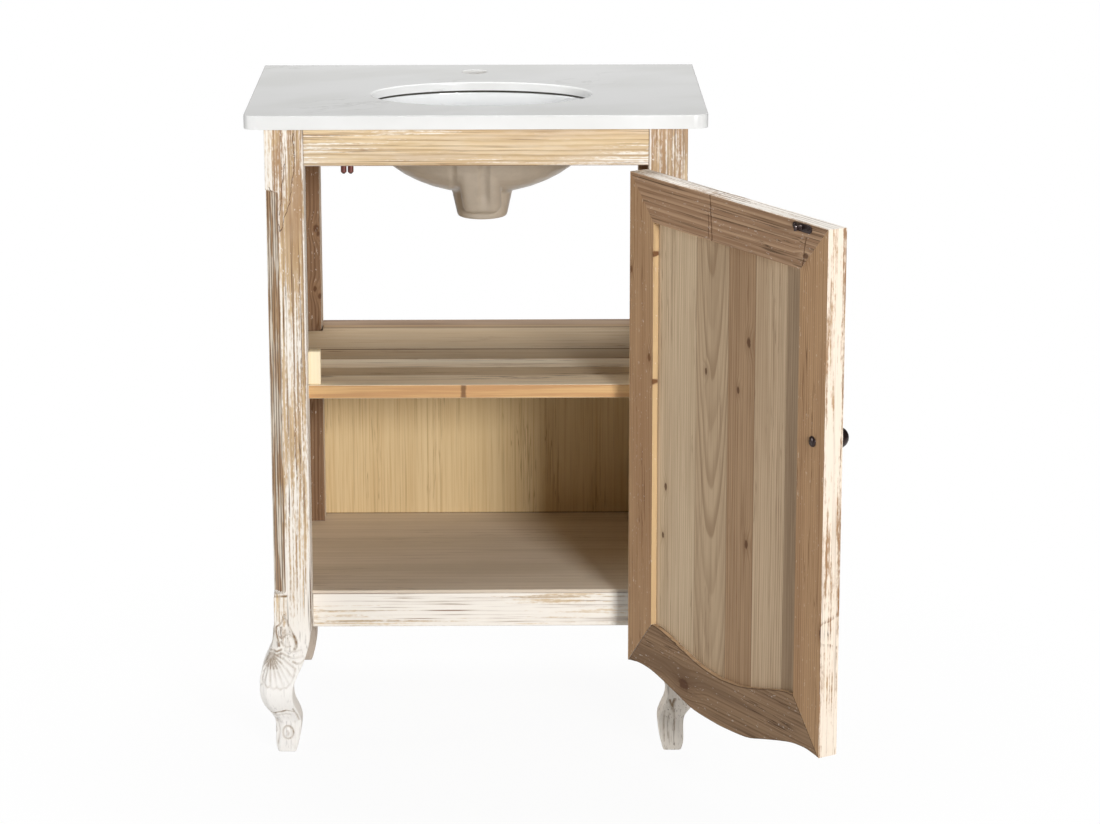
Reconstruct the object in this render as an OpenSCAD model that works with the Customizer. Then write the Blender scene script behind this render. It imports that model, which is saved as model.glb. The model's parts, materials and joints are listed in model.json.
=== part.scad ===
// Washstand: a marble slab with an undermounted oval basin, on a joined pine frame with four
// cabriole legs, one shelf and one framed door hinged at the right.
// Origin: on the floor, on the centre line of the front left leg.
// +X runs to the right along the front, +Y to the back, +Z up. Millimetres.

/* [Frame] */
// Outside width across the legs
frame_w = 548; // [500:1:640]
// Outside depth across the legs
frame_d = 416; // [396:1:480]
// Height of the frame, floor to the underside of the marble
frame_h = 852; // [830:1:900]
// Section of a leg blank
leg_w = 50; // [46:1:56]
// Height of the curved foot of a leg
foot_h = 186; // [180:1:190]
// Leg width cut away by the stopped chamfer on a front leg
chamfer_w = 16; // [10:1:20]
// Height of the chamfer's lower stop above the floor
chamfer_low = 222; // [200:1:260]
// Distance from the top rail down to the chamfer's upper stop
chamfer_high = 30; // [20:1:80]
// Height of the top rails
top_rail_h = 50; // [40:1:60]
// Height of the lower rails
low_rail_h = 47; // [40:1:52]
// Thickness of every rail but the shelf's
rail_t = 20; // [18:1:24]
// How far the front top rail stands back from the legs
rail_setback = 2; // [0:0.5:4]
// Thickness of a tenon
tenon_t = 8; // [6:1:10]
// Length of a tenon
tenon_l = 18; // [12:1:20]
// Shoulder above and below a tenon
tenon_shoulder = 8; // [6:1:10]

/* [Marble top] */
// Thickness of the slab
top_t = 18; // [16:1:24]
// Overhang of the slab at each side
top_side = 26; // [10:1:30]
// Overhang of the slab at the front
top_front = 12; // [8:1:30]
// Corner radius of the slab at the front
top_corner_r = 19; // [8:1:30]
// Length of the basin cut-out
hole_len = 294; // [270:1:310]
// Width of the basin cut-out, front to back
hole_wid = 192; // [180:1:200]
// Distance from the legs' front to the middle of the basin
bowl_back = 164; // [160:1:172]
// Distance from the frame's middle to the basin's middle, to the right
bowl_off = 6; // [0:1:10]
// Depth of the recess under the slab that the basin's rim beds in
seat_d = 6; // [4:0.5:8]
// Diameter of the tap hole
tap_d = 35; // [30:1:38]
// Distance from the slab's back edge to the tap hole's axis
tap_back = 64; // [56:1:70]
// Distance from the frame's middle to the tap hole's axis, to the left
tap_off = 5; // [0:1:10]

/* [Basin] */
// How far the marble stands out over the bowl's inner wall
reveal = 5; // [2:1:8]
// Wall of the bowl
bowl_wall = 9; // [7:1:12]
// Inner depth of the bowl, below its rim's underside
bowl_depth = 102; // [94:1:120]
// Width of the rim outside the bowl
rim_w = 8; // [6:1:12]
// Thickness of the rim
rim_t = 9; // [7:1:12]
// Thickness of the sealant bead
seal_t = 1; // [0.5:0.1:2]
// Diameter of the waste outlet
waste_d = 45; // [40:1:48]
// Diameter of the recess for the waste's flange
waste_seat_d = 63; // [58:1:68]
// Height of the outlet boss below the bowl
boss_h = 32; // [24:1:40]
// Diameter of the outlet boss at its foot
boss_d = 66; // [62:1:72]
// Diameter of the overflow hole
overflow_d = 22; // [16:1:26]
// Width of the overflow duct on the bowl's front
duct_w = 52; // [46:1:58]

/* [Shelves and panels] */
// Height of the middle shelf's top above the floor
shelf_z = 503; // [440:1:540]
// Thickness of the middle shelf
shelf_t = 18; // [15:1:24]
// Distance from the legs' front to the front edge of both shelves
shelf_back = 30; // [30:1:36]
// Depth of the rail behind the middle shelf
shelf_rail_d = 33; // [26:1:36]
// Height of the rail behind the middle shelf
shelf_rail_h = 30; // [24:1:40]
// Gap between the middle shelf's notch and a rear leg, at the front
notch_gap = 18; // [4:1:22]
// Height of the bottom board's top above the floor
floor_z = 219; // [205:1:240]
// Thickness of the bottom board
board_t = 4; // [3:0.5:6]
// Thickness of the side panels
side_t = 8; // [6:0.5:10]
// Thickness of the back panel
back_t = 5; // [3:0.5:6]
// Distance from the legs' back to the back panel
back_inset = 7; // [6:0.5:9]
// Depth of the grooves that hold the panels
groove = 6; // [4:0.5:8]
// Width of a shelf cleat
cleat_w = 12; // [9:1:14]
// Height of a shelf cleat
cleat_h = 20; // [14:1:26]
// Width of a corner block on the shelf
block_w = 16; // [12:1:20]
// Height of a corner block on the shelf
block_h = 45; // [30:1:60]
// Distance from the shelf's front edge to a corner block
block_inset = 4; // [1:1:8]

/* [Door] */
// Gap between the door and each leg
door_gap = 2; // [1.6:0.1:2.5]
// Gap between the door and the front top rail
door_top_gap = 4; // [3:0.5:6]
// Height of the door's lower corners above the floor
door_foot = 135; // [130:1:142]
// How far the door's lower edge hangs down at its middle
door_dip = 25.5; // [20:0.5:30]
// How far the lower edge of the door's opening hangs down at its middle
open_dip = 27.5; // [20:0.5:30]
// Thickness of the door's frame
door_t = 27; // [24:0.5:28]
// Width of the stiles
stile_w = 57; // [50:1:64]
// Width of the door's top rail
door_top_w = 58; // [50:1:64]
// Width of the door's bottom rail at its corners
door_bot_w = 65; // [58:1:72]
// Thickness of the door's boards
panel_t = 11; // [9:0.5:12]
// Distance from the door's inner face to its boards
panel_inset = 8; // [6:0.5:9]
// Depth of the grooves round the door's boards
panel_groove = 8; // [6:1:10]
// Angle at which the door stands open
door_open = 120; // [0:1:135]

/* [Knob] */
// Diameter of the knob
knob_d = 28; // [24:1:34]
// How far the knob stands out
knob_h = 24; // [20:1:30]
// Distance from the door's free edge to the knob's axis
knob_edge = 25; // [20:1:32]
// Height of the knob above the floor
knob_z = 533; // [480:1:560]
// Diameter of the knob's screw
knob_screw_d = 4; // [3:0.5:5]
// Diameter of the head of the knob's screw
knob_head_d = 14; // [10:1:16]

/* [Hinges] */
// Height of a hinge
hinge_h = 64; // [50:1:76]
// Width of a hinge leaf
leaf_w = 22; // [16:1:24]
// Thickness of a hinge leaf
leaf_t = 1.2; // [1:0.1:1.6]
// Diameter of the knuckles
knuckle_d = 6.4; // [6:0.2:7.4]
// Diameter of a hinge pin
pin_d = 3; // [2.4:0.1:3.4]
// How far the pin stands in front of the door's face
pin_front = 1.5; // [1:0.1:3]
// Distance from the door's top, or foot, to the middle of a hinge
hinge_inset = 80; // [60:1:110]

/* [Roller catch] */
// Distance from the door's free edge to the middle of the strike
catch_edge = 53.5; // [48:0.5:60]
// Diameter of a roller
roller_d = 7.6; // [7:0.1:8]
// Gap between the rollers at rest
roller_gap = 1.5; // [1.4:0.1:1.8]
// Height of a roller
roller_h = 10.4; // [9:0.1:11]
// Diameter of the rollers' axles and of the arms' pins
axle_d = 2.4; // [2:0.1:3]
// Length of an arm from pin to axle
arm_l = 17.5; // [16:0.5:20]
// Width of the strike plate
strike_w = 40; // [36:1:44]
// Height of the strike plate
strike_h = 10.2; // [9:0.1:11]
// How far the spear stands out of the strike plate
spear_l = 12; // [11:0.5:13]

/* [Hidden] */

// Clearance between a screw or pin and the hole that it sits in
fit = 0.05;
// Clearance between parts that pass each other
slip = 0.3;
// Reach of a cutting body past the face that it cuts
past = 1;

// Faces of the frame
x_left = -leg_w / 2;
x_right = frame_w - leg_w / 2;
y_front = -leg_w / 2;
y_back = frame_d - leg_w / 2;
mid_x = (x_left + x_right) / 2;
in_left = x_left + leg_w;
in_right = x_right - leg_w;
in_front = y_front + leg_w;
in_back = y_back - leg_w;

// Rails
rail_z = frame_h - top_rail_h;
low_z = floor_z - board_t - low_rail_h;
shelf_y = y_front + shelf_back;

// Corner of a leg
chamfer_run = 3;
knee_ease = 7;

// Slab and basin
bowl = [mid_x + bowl_off, y_front + bowl_back];
bowl_a = hole_len / 2 + reveal;
bowl_b = hole_wid / 2 + reveal;
rim_a = bowl_a + bowl_wall + rim_w;
rim_b = bowl_b + bowl_wall + rim_w;
seat_z = frame_h + seat_d;
rim_z = seat_z - seal_t;
bowl_z = rim_z - rim_t;
bowl_foot_z = bowl_z - bowl_depth - bowl_wall;
boss_z = bowl_foot_z - boss_h;
seat_gap = 1;
boss_flare = 18;
boss_top_d = boss_d + boss_flare;
duct_r = 12;
duct_lean = 8;
duct_spread = 3;
duct_sink = 6;
duct_stand = 3;
duct_lift = 10;
duct_front = bowl[1] - bowl_b + duct_sink;
duct_low_y = bowl[1] - boss_d / 2 - duct_stand;
duct_low_z = boss_z + duct_lift + duct_r;
overflow_drop = 22;
overflow_skin = 2.5;
overflow_z = bowl_z - overflow_drop;
overflow_low = (overflow_drop + overflow_d / 2) / (bowl_depth + bowl_wall);
overflow_end = (bowl_b + bowl_wall) * sqrt(1 - overflow_low * overflow_low) - overflow_skin;
overflow_start = bowl_b * 0.8;
waste_seat_z = bowl_foot_z + bowl_wall / 2;
clip_angles = [40, 140, 220, 320];
clip_w = 16;
clip_t = 2;
clip_foot = 20;
clip_lip = 7;
clip_x = seat_gap + 1;
clip_screw_x = 12;
clip_head_d = 7;
clip_head_t = 2;

// Door, laid out in its closed place
door_x0 = in_left + door_gap;
door_x1 = in_right - door_gap;
door_w = door_x1 - door_x0;
door_head = rail_z - door_top_gap;
open_foot = door_foot + door_bot_w;
open_head = door_head - door_top_w;
panel_n = door_t - panel_inset - panel_t;
pin = [in_right - door_gap / 2, y_front - pin_front];
hinge_zs = [door_foot + hinge_inset, door_head - hinge_inset];
// Distances from the hinge side to the joints between the door's boards
board_joints = [for (share = [0, 0.333, 0.498, 0.633, 0.788, 1]) share * door_w];

// Catch and strike
catch_x = door_x0 + catch_edge;
strike_drop = 1.3;
strike_z = door_head - strike_h / 2 - strike_drop;
strike_t = 1.2;
strike_ear_less = 1.4;
strike_screw_in = 5.5;
strike_head_t = 1.4;
strike_head_d = 5.8;
strike_head_top_d = 3.6;
spear_h = 6;
spear_neck = 0.8;
spear_head = 4;
spear_head_l = 3.4;
spear_barb = 0.8;
spear_tip = 1;
base_t = 1.5;
base_z = rail_z - base_t;
arm_t = 1.6;
axle_head_t = 0.8;
axle_head_d = 4.4;
axle_head_low_d = 3;
roller_ease = 2;
roller_edge = 0.6;
spring_h = 2.5;
spring_d = 5;
pin_head_t = 0.8;
arm_eye_d = 5;
arm_w = 3.8;
arm_z = base_z - slip - arm_t;
roller_z = arm_z - slip - roller_h;
spring_z = arm_z - slip / 2 - spring_h;
roller_x = (roller_d + roller_gap) / 2;
roller_y = y_front + door_t + strike_t + slip + roller_d / 2;
arm_pin_x = 7;
arm_pin_y = roller_y + arm_l;
base_w = 31;
base_margin = 3;
base_end = 6;
block_y = y_front + rail_setback + rail_t;
block_short = 8;
base_y = block_y + base_margin;
base_l = arm_pin_y + base_end - base_y;
catch_screw_x = 12.7;
catch_screw_y = roller_y + base_margin;
catch_head_d = 5;
catch_head_t = 1.2;

// Knob
knob_neck = 9;
knob_neck_r = 5.5;
knob_foot_r = 8;
knob_bore = 12;
knob_dome = 3.4;
knob_foot_t = 1.5;
knob_cove = 3;
knob_under = 4;

// Screws
screw_l = 12;
screw_d = 3;
leaf_screw_step = hinge_h * 0.344;
leaf_screw_y = y_front + leaf_w * 0.62;
leaf_head_d = 5.5;
leaf_head_t = 0.7;
pin_end = 1;

// Point at t along the Catmull-Rom curve from b to c
function curve_at(a, b, c, d, t) =
    (2 * b + (c - a) * t + (2 * a - 5 * b + 4 * c - d) * t * t + (3 * b - a - 3 * c + d) * t * t * t) / 2;
// Smooth line through the points p, with n steps between two of them
function smooth(p, n = 4) = concat(
    [for (i = [0:len(p) - 2], k = [0:n - 1])
        curve_at(p[max(i - 1, 0)], p[i], p[i + 1], p[min(i + 2, len(p) - 1)], k / n)],
    [p[len(p) - 1]]);
// How much of the corner's easing is left at a height, given as a share of the foot's
function ease_at(h) = min(1, (1 - h) * 5) * min(1, 0.3 + h * 4);
function reversed(p) = [for (i = [len(p) - 1:-1:0]) p[i]];
// Points of an ellipse
function oval(a, b, n = 96) = [for (i = [0:n - 1]) [a * cos(i * 360 / n), b * sin(i * 360 / n)]];

// Outer side of a foot, top down: where it stands in the leg's width and in the foot's height
foot_out = smooth([[0, 1], [-0.08, 0.81], [-0.32, 0.665], [-0.41, 0.5], [-0.31, 0.38],
    [-0.06, 0.26], [-0.02, 0.18], [-0.02, 0.065], [0.04, 0]]);
// Inner side of a foot, bottom up, in the same way
foot_in = smooth([[0.51, 0], [0.55, 0.03], [0.64, 0.13], [0.68, 0.237], [0.61, 0.317], [0.49, 0.41],
    [0.48, 0.495], [0.56, 0.58], [0.78, 0.705], [0.93, 0.833], [1, 1]]);
// Lower edge of the door: share of half its width, and how low it hangs as a share of the dip
door_wave = smooth([[0, 1], [0.27, 0.882], [0.45, 0.51], [0.61, 0.157], [0.74, -0.078],
    [0.86, -0.149], [0.94, -0.086], [1, 0]]);
// Lower edge of the door's opening, in the same way
open_wave = smooth([[0, 1], [0.27, 0.873], [0.51, 0.564], [0.76, 0.182], [0.91, 0.018], [1, 0]]);

// An edge that waves the same way left and right of s = mid, from left to right
function wave_line(wave, mid, half, z, dip) = concat(
    [for (p = reversed(wave)) [mid - half * p[0], z - dip * p[1]]],
    [for (i = [1:len(wave) - 1]) [mid + half * wave[i][0], z - dip * wave[i][1]]]);

module pine(shade = 1) { color([0.76 * shade, 0.64 * shade, 0.49 * shade]) children(); }
module limed(shade = 1) { color([0.87 * shade, 0.82 * shade, 0.74 * shade]) children(); }
module dark_metal() { color([0.16, 0.11, 0.10]) children(); }
module steel() { color([0.62, 0.60, 0.56]) children(); }

// ---- Marble top ----

module slab_outline() {
    x0 = x_left - top_side;
    x1 = x_right + top_side;
    y0 = y_front - top_front;
    translate([x0, y0 + top_corner_r]) square([x1 - x0, y_back - y0 - top_corner_r]);
    translate([x0 + top_corner_r, y0]) square([x1 - x0 - 2 * top_corner_r, top_corner_r + past]);
    for (x = [x0 + top_corner_r, x1 - top_corner_r])
        translate([x, y0 + top_corner_r]) circle(r = top_corner_r, $fn = 64);
}

module marble_top() {
    color([0.86, 0.86, 0.85]) difference() {
        translate([0, 0, frame_h]) linear_extrude(top_t) slab_outline();
        translate([bowl[0], bowl[1], frame_h - past]) {
            linear_extrude(top_t + 2 * past) polygon(oval(hole_len / 2, hole_wid / 2));
            linear_extrude(seat_d + past) polygon(oval(rim_a + seat_gap, rim_b + seat_gap));
        }
        translate([mid_x - tap_off, y_back - tap_back, frame_h - past])
            cylinder(d = tap_d, h = top_t + 2 * past, $fn = 64);
        for (a = clip_angles) at_clip(a) translate([clip_screw_x, 0, frame_h - past])
            cylinder(d = screw_d + 2 * fit, h = screw_l + past, $fn = 24);
    }
}

// ---- Basin ----

// Lower half of an ellipsoid, with its middle at the underside of the basin's rim
module half_shell(a, b, c) {
    translate([bowl[0], bowl[1], bowl_z]) hull() intersection() {
        scale([a, b, c]) sphere(r = 1, $fn = 48);
        translate([-a - past, -b - past, -c - past]) cube([2 * (a + past), 2 * (b + past), c + past]);
    }
}

// The overflow's channel, from behind the front rail down to the outlet boss
module overflow_duct() {
    half = duct_w / 2 - duct_r;
    hull() for (s = [-1, 1]) {
        translate([bowl[0] + (half + duct_spread) * s - duct_lean, duct_front, bowl_z - 3 * duct_r])
            cylinder(r = duct_r, h = 2 * duct_r, $fn = 24);
        translate([bowl[0] + half * s, duct_low_y, duct_low_z]) sphere(r = duct_r, $fn = 24);
    }
}

module basin() {
    color([0.93, 0.93, 0.92]) difference() {
        union() {
            half_shell(bowl_a + bowl_wall, bowl_b + bowl_wall, bowl_depth + bowl_wall);
            translate([bowl[0], bowl[1], bowl_z]) linear_extrude(rim_t) polygon(oval(rim_a, rim_b));
            translate([bowl[0], bowl[1], boss_z])
                cylinder(d1 = boss_d, d2 = boss_top_d, h = boss_h + bowl_wall, $fn = 64);
            overflow_duct();
        }
        half_shell(bowl_a, bowl_b, bowl_depth);
        translate([bowl[0], bowl[1], bowl_z - past / 4])
            linear_extrude(rim_t + past) polygon(oval(bowl_a, bowl_b));
        translate([bowl[0], bowl[1], boss_z - past])
            cylinder(d = waste_d, h = boss_h + 2 * bowl_wall, $fn = 64);
        translate([bowl[0], bowl[1], waste_seat_z]) cylinder(d = waste_seat_d, h = bowl_wall, $fn = 64);
        translate([bowl[0], bowl[1] - overflow_start, overflow_z]) rotate([90, 0, 0])
            cylinder(d = overflow_d, h = overflow_end - overflow_start, $fn = 48);
    }
}

module rim_seal() {
    color([0.35, 0.35, 0.35]) translate([bowl[0], bowl[1], rim_z]) linear_extrude(seal_t) difference() {
        polygon(oval(rim_a, rim_b));
        polygon(oval(bowl_a, bowl_b));
    }
}

// Places a clip at an angle round the rim, with X pointing out from the basin
module at_clip(a) {
    translate([bowl[0] + rim_a * cos(a), bowl[1] + rim_b * sin(a), 0])
        rotate([0, 0, atan2(rim_a * sin(a), rim_b * cos(a))]) children();
}

module basin_clips() {
    steel() for (a = clip_angles) at_clip(a) difference() {
        translate([0, -clip_w / 2, 0]) {
            translate([-clip_lip, 0, bowl_z - clip_t]) cube([clip_lip + clip_t + clip_x, clip_w, clip_t]);
            translate([clip_x, 0, bowl_z - clip_t]) cube([clip_t, clip_w, frame_h - bowl_z + clip_t]);
            translate([clip_x, 0, frame_h - clip_t]) cube([clip_foot, clip_w, clip_t]);
        }
        translate([clip_screw_x, 0, frame_h - clip_t - past])
            cylinder(d = screw_d + 2 * fit, h = clip_t + 2 * past, $fn = 24);
    }
}

module clip_screws() {
    steel() for (a = clip_angles) at_clip(a) translate([clip_screw_x, 0, frame_h - clip_t]) {
        translate([0, 0, -clip_head_t]) cylinder(d = clip_head_d, h = clip_head_t, $fn = 24);
        cylinder(d = screw_d, h = screw_l + clip_t - past, $fn = 24);
    }
}

// ---- Legs ----

// Front view of a leg, from its outer face inwards
module leg_profile(flat_outside = false) {
    outside = flat_outside ? [[0, foot_h], [0, 0]] : [for (p = foot_out) [p[0] * leg_w, p[1] * foot_h]];
    polygon(concat([[leg_w, frame_h], [0, frame_h]], outside,
        [for (p = foot_in) [p[0] * leg_w, p[1] * foot_h]]));
}

// Section through a leg's corner from its outer edge inwards: the chamfer, and the eased knee below
module corner_profile(chamfered) {
    cut = chamfer_w / sqrt(2);
    stop_high = rail_z - chamfer_high;
    polygon(concat([[leg_w * 2, frame_h], [-past, frame_h]],
        chamfered ? [[-past, stop_high], [cut, stop_high - chamfer_run],
            [cut, chamfer_low + chamfer_run], [-past, chamfer_low]] : [],
        [for (p = foot_out)
            [p[0] * leg_w * sqrt(2) + knee_ease * ease_at(p[1]) - past * p[1], p[1] * foot_h]],
        [[leg_w * 2, 0]]));
}

// A front left leg blank with its outer corner at the origin
module leg_blank(chamfered, flat_back) {
    reach = 40;
    span = 2 * (leg_w + reach);
    intersection() {
        translate([0, leg_w + reach, 0]) rotate([90, 0, 0]) linear_extrude(span) leg_profile();
        translate([-reach, 0, 0]) rotate([90, 0, 90]) linear_extrude(span) leg_profile(flat_back);
        rotate([0, 0, 45]) translate([0, span, 0]) rotate([90, 0, 0]) linear_extrude(2 * span)
            corner_profile(chamfered);
    }
}

module front_leg_left() {
    limed() difference() {
        translate([x_left, y_front, 0]) leg_blank(true, false);
        joinery();
    }
}

module front_leg_right() {
    limed() difference() {
        translate([x_right, y_front, 0]) mirror([1, 0, 0]) leg_blank(true, false);
        joinery();
        leaf_recess(in_right, 1);
    }
}

module rear_leg_left() {
    limed(0.8) difference() {
        translate([x_left, y_back, 0]) mirror([0, 1, 0]) leg_blank(false, true);
        joinery();
    }
}

module rear_leg_right() {
    limed(0.8) difference() {
        translate([x_right, y_back, 0]) mirror([0, 1, 0]) mirror([1, 0, 0]) leg_blank(false, true);
        joinery();
    }
}

// ---- Rails ----

// The bar through a rail that runs left to right; its ends are the tenons
module bar_x(y, t, z, h) {
    translate([in_left - tenon_l, y + (t - tenon_t) / 2, z + tenon_shoulder])
        cube([in_right - in_left + 2 * tenon_l, tenon_t, h - 2 * tenon_shoulder]);
}

module bar_y(x, z, h) {
    translate([x - tenon_t / 2, in_front - tenon_l, z + tenon_shoulder])
        cube([tenon_t, in_back - in_front + 2 * tenon_l, h - 2 * tenon_shoulder]);
}

module rail_x(y, t, z, h) {
    translate([in_left, y, z]) cube([in_right - in_left, t, h]);
    bar_x(y, t, z, h);
}

module rail_y(x, z, h) {
    translate([x - rail_t / 2, in_front, z]) cube([rail_t, in_back - in_front, h]);
    bar_y(x, z, h);
}

side_x = [x_left + leg_w / 2, x_right - leg_w / 2];
notch_side = 2;
front_rail_y = y_front + rail_setback;
low_front_y = shelf_y;
rear_rail_y = y_back - rail_t;
shelf_rail_y = y_back - shelf_rail_d;
shelf_rail_z = shelf_z - shelf_rail_h;

// Everything that is let into the legs: tenons and panel edges
module joinery() {
    bar_x(front_rail_y, rail_t, rail_z, top_rail_h);
    bar_x(low_front_y, rail_t, low_z, low_rail_h);
    bar_x(rear_rail_y, rail_t, rail_z, top_rail_h);
    bar_x(rear_rail_y, rail_t, low_z, low_rail_h);
    bar_x(shelf_rail_y, shelf_rail_d, shelf_rail_z, shelf_rail_h);
    for (x = side_x) {
        bar_y(x, rail_z, top_rail_h);
        bar_y(x, low_z, low_rail_h);
        side_board(x);
    }
    back_board();
}

module front_top_rail() { pine() rail_x(front_rail_y, rail_t, rail_z, top_rail_h); }
module front_bottom_rail() { limed(1.05) rail_x(low_front_y, rail_t, low_z, low_rail_h); }
module rear_top_rail() { pine(0.9) rail_x(rear_rail_y, rail_t, rail_z, top_rail_h); }
module rear_bottom_rail() { pine(0.9) rail_x(rear_rail_y, rail_t, low_z, low_rail_h); }

module rear_shelf_rail() {
    pine(0.85) difference() {
        rail_x(shelf_rail_y, shelf_rail_d, shelf_rail_z, shelf_rail_h);
        back_board();
    }
}

module side_rail(x, z, h) {
    limed() difference() {
        rail_y(x, z, h);
        side_board(x);
    }
}

module side_top_rail_left() { side_rail(side_x[0], rail_z, top_rail_h); }
module side_top_rail_right() { side_rail(side_x[1], rail_z, top_rail_h); }
module side_bottom_rail_left() { side_rail(side_x[0], low_z, low_rail_h); }
module side_bottom_rail_right() { side_rail(side_x[1], low_z, low_rail_h); }

// ---- Panels and shelves ----

module side_board(x) {
    z0 = low_z + low_rail_h - groove;
    translate([x - side_t / 2, in_front - groove, z0])
        cube([side_t, in_back - in_front + 2 * groove, rail_z + groove - z0]);
}

module side_panel_left() { limed(0.95) side_board(side_x[0]); }
module side_panel_right() { limed(0.95) side_board(side_x[1]); }

module back_board() {
    z0 = floor_z - board_t;
    translate([in_left - groove, y_back - back_inset - back_t, z0])
        cube([in_right - in_left + 2 * groove, back_t, shelf_rail_z + groove - z0]);
}

module back_panel() { color([0.85, 0.74, 0.54]) back_board(); }

// A board between the side panels, notched round the legs
module notched_board(y1, z, t, rear_gap, side_gap) {
    x0 = side_x[0] + side_t / 2;
    x1 = side_x[1] - side_t / 2;
    difference() {
        translate([x0, shelf_y, z]) cube([x1 - x0, y1 - shelf_y, t]);
        for (x = [x0 - past, in_right]) translate([x, shelf_y - past, z - past])
            cube([in_left - x0 + past, in_front - shelf_y + past, t + 2 * past]);
        for (x = [x0 - past, in_right - side_gap])
            translate([x, in_back - rear_gap, z - past])
                cube([in_left - x0 + past + side_gap, y1 - in_back + rear_gap + past, t + 2 * past]);
    }
}

module middle_shelf() {
    pine(0.9) notched_board(shelf_rail_y, shelf_z - shelf_t, shelf_t, notch_gap, notch_side);
}

module bottom_board() {
    color([0.56, 0.50, 0.43])
        notched_board(y_back - back_inset - back_t, floor_z - board_t, board_t, 0, 0);
}

module shelf_cleats() {
    pine(0.8) for (x = [side_x[0] + side_t / 2, side_x[1] - side_t / 2 - cleat_w])
        translate([x, in_front, shelf_z - shelf_t - cleat_h]) cube([cleat_w, in_back - in_front, cleat_h]);
}

module shelf_blocks() {
    color([0.92, 0.83, 0.66]) for (x = [in_left, in_right - block_w])
        translate([x, shelf_y + block_inset, shelf_z])
            cube([block_w, in_front - shelf_y - block_inset, block_h]);
}

// ---- Roller catch ----

module catch_block() {
    pine() difference() {
        translate([catch_x - base_w / 2 - base_margin, block_y, rail_z])
            cube([base_w + 2 * base_margin, base_l + 2 * base_margin, top_rail_h - block_short]);
        for (s = [-1, 1]) translate([catch_x + s * catch_screw_x, catch_screw_y, rail_z - past])
            cylinder(d = screw_d + 2 * fit, h = screw_l + past, $fn = 24);
    }
}

module catch_base() {
    dark_metal() difference() {
        translate([catch_x - base_w / 2, base_y, base_z]) cube([base_w, base_l, base_t]);
        for (s = [-1, 1]) {
            translate([catch_x + s * catch_screw_x, catch_screw_y, base_z - past])
                cylinder(d = screw_d + 2 * fit, h = base_t + 2 * past, $fn = 24);
            translate([catch_x + s * arm_pin_x, arm_pin_y, base_z - past])
                cylinder(d = axle_d + 2 * fit, h = base_t + 2 * past, $fn = 24);
        }
    }
}

module catch_screws() {
    dark_metal() for (s = [-1, 1]) translate([catch_x + s * catch_screw_x, catch_screw_y, base_z]) {
        translate([0, 0, -catch_head_t]) cylinder(d = catch_head_d, h = catch_head_t, $fn = 24);
        cylinder(d = screw_d, h = screw_l + base_t - past, $fn = 24);
    }
}

module catch_pins() {
    foot = spring_z - fit;
    steel() for (s = [-1, 1]) translate([catch_x + s * arm_pin_x, arm_pin_y, 0]) {
        translate([0, 0, foot]) cylinder(d = axle_d, h = rail_z - foot, $fn = 24);
        translate([0, 0, foot - pin_head_t]) cylinder(d = spring_d, h = pin_head_t, $fn = 24);
    }
}

module catch_springs() {
    steel() for (s = [-1, 1]) translate([catch_x + s * arm_pin_x, arm_pin_y, spring_z]) difference() {
        cylinder(d = spring_d, h = spring_h, $fn = 24);
        translate([0, 0, -past]) cylinder(d = axle_d + 4 * fit, h = spring_h + 2 * past, $fn = 24);
    }
}

// One arm with its axle; side is -1 for the left one and 1 for the right one
module catch_arm(side) {
    px = catch_x + side * arm_pin_x;
    ax = catch_x + side * roller_x;
    turn = atan2(ax - px, arm_pin_y - roller_y);
    reach = norm([ax - px, arm_pin_y - roller_y]);
    dark_metal() {
        difference() {
            union() {
                translate([px, arm_pin_y, arm_z]) cylinder(d = arm_eye_d, h = arm_t, $fn = 32);
                translate([px, arm_pin_y, arm_z]) rotate([0, 0, turn]) translate([-arm_w / 2, -reach, 0])
                    cube([arm_w, reach, arm_t]);
                translate([ax, roller_y, arm_z]) cylinder(d = arm_eye_d, h = arm_t, $fn = 32);
            }
            translate([px, arm_pin_y, arm_z - past])
                cylinder(d = axle_d + 2 * fit, h = arm_t + 2 * past, $fn = 32);
        }
        translate([ax, roller_y, roller_z - slip])
            cylinder(d = axle_d, h = arm_z - roller_z + slip + arm_t / 2, $fn = 32);
        translate([ax, roller_y, roller_z - slip - axle_head_t])
            cylinder(d1 = axle_head_low_d, d2 = axle_head_d, h = axle_head_t, $fn = 32);
    }
}

module catch_roller(side) {
    r = roller_d / 2;
    ease = roller_ease;
    edge = roller_edge;
    color([0.27, 0.15, 0.13]) translate([catch_x + side * roller_x, roller_y, roller_z]) difference() {
        rotate_extrude($fn = 48) polygon(concat([[0, 0]],
            [for (a = [-90:15:0]) [r - ease + ease * cos(a), ease + ease * sin(a)]],
            [[r, roller_h - edge], [r - edge, roller_h], [0, roller_h]]));
        translate([0, 0, -past]) cylinder(d = axle_d + 2 * fit, h = roller_h + 2 * past, $fn = 32);
    }
}

module catch_arm_left() { catch_arm(-1); }
module catch_arm_right() { catch_arm(1); }
module catch_roller_left() { catch_roller(-1); }
module catch_roller_right() { catch_roller(1); }

// ---- Hinges ----

// Room for the hinge leaves, knuckles and screws in the leg (side 1) or the door (side -1)
module leaf_recess(x, side) {
    for (z = hinge_zs) {
        translate([side > 0 ? x : x - leaf_t, pin[1], z - hinge_h / 2])
            cube([leaf_t, leaf_w + pin_front, hinge_h]);
        translate([pin[0], pin[1], z - hinge_h / 2 - slip])
            cylinder(d = knuckle_d + 2 * slip, h = hinge_h + 2 * slip, $fn = 48);
        at_leaf_screws(x, z, side) cylinder(d = screw_d + 2 * fit, h = screw_l + past, $fn = 24);
    }
}

// Places a screw at each hole of a leaf, with Z pointing into the wood
module at_leaf_screws(x, z, side) {
    for (i = [-1:1])
        translate([x, leaf_screw_y, z + i * leaf_screw_step]) rotate([0, side * 90, 0]) children();
}

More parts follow.
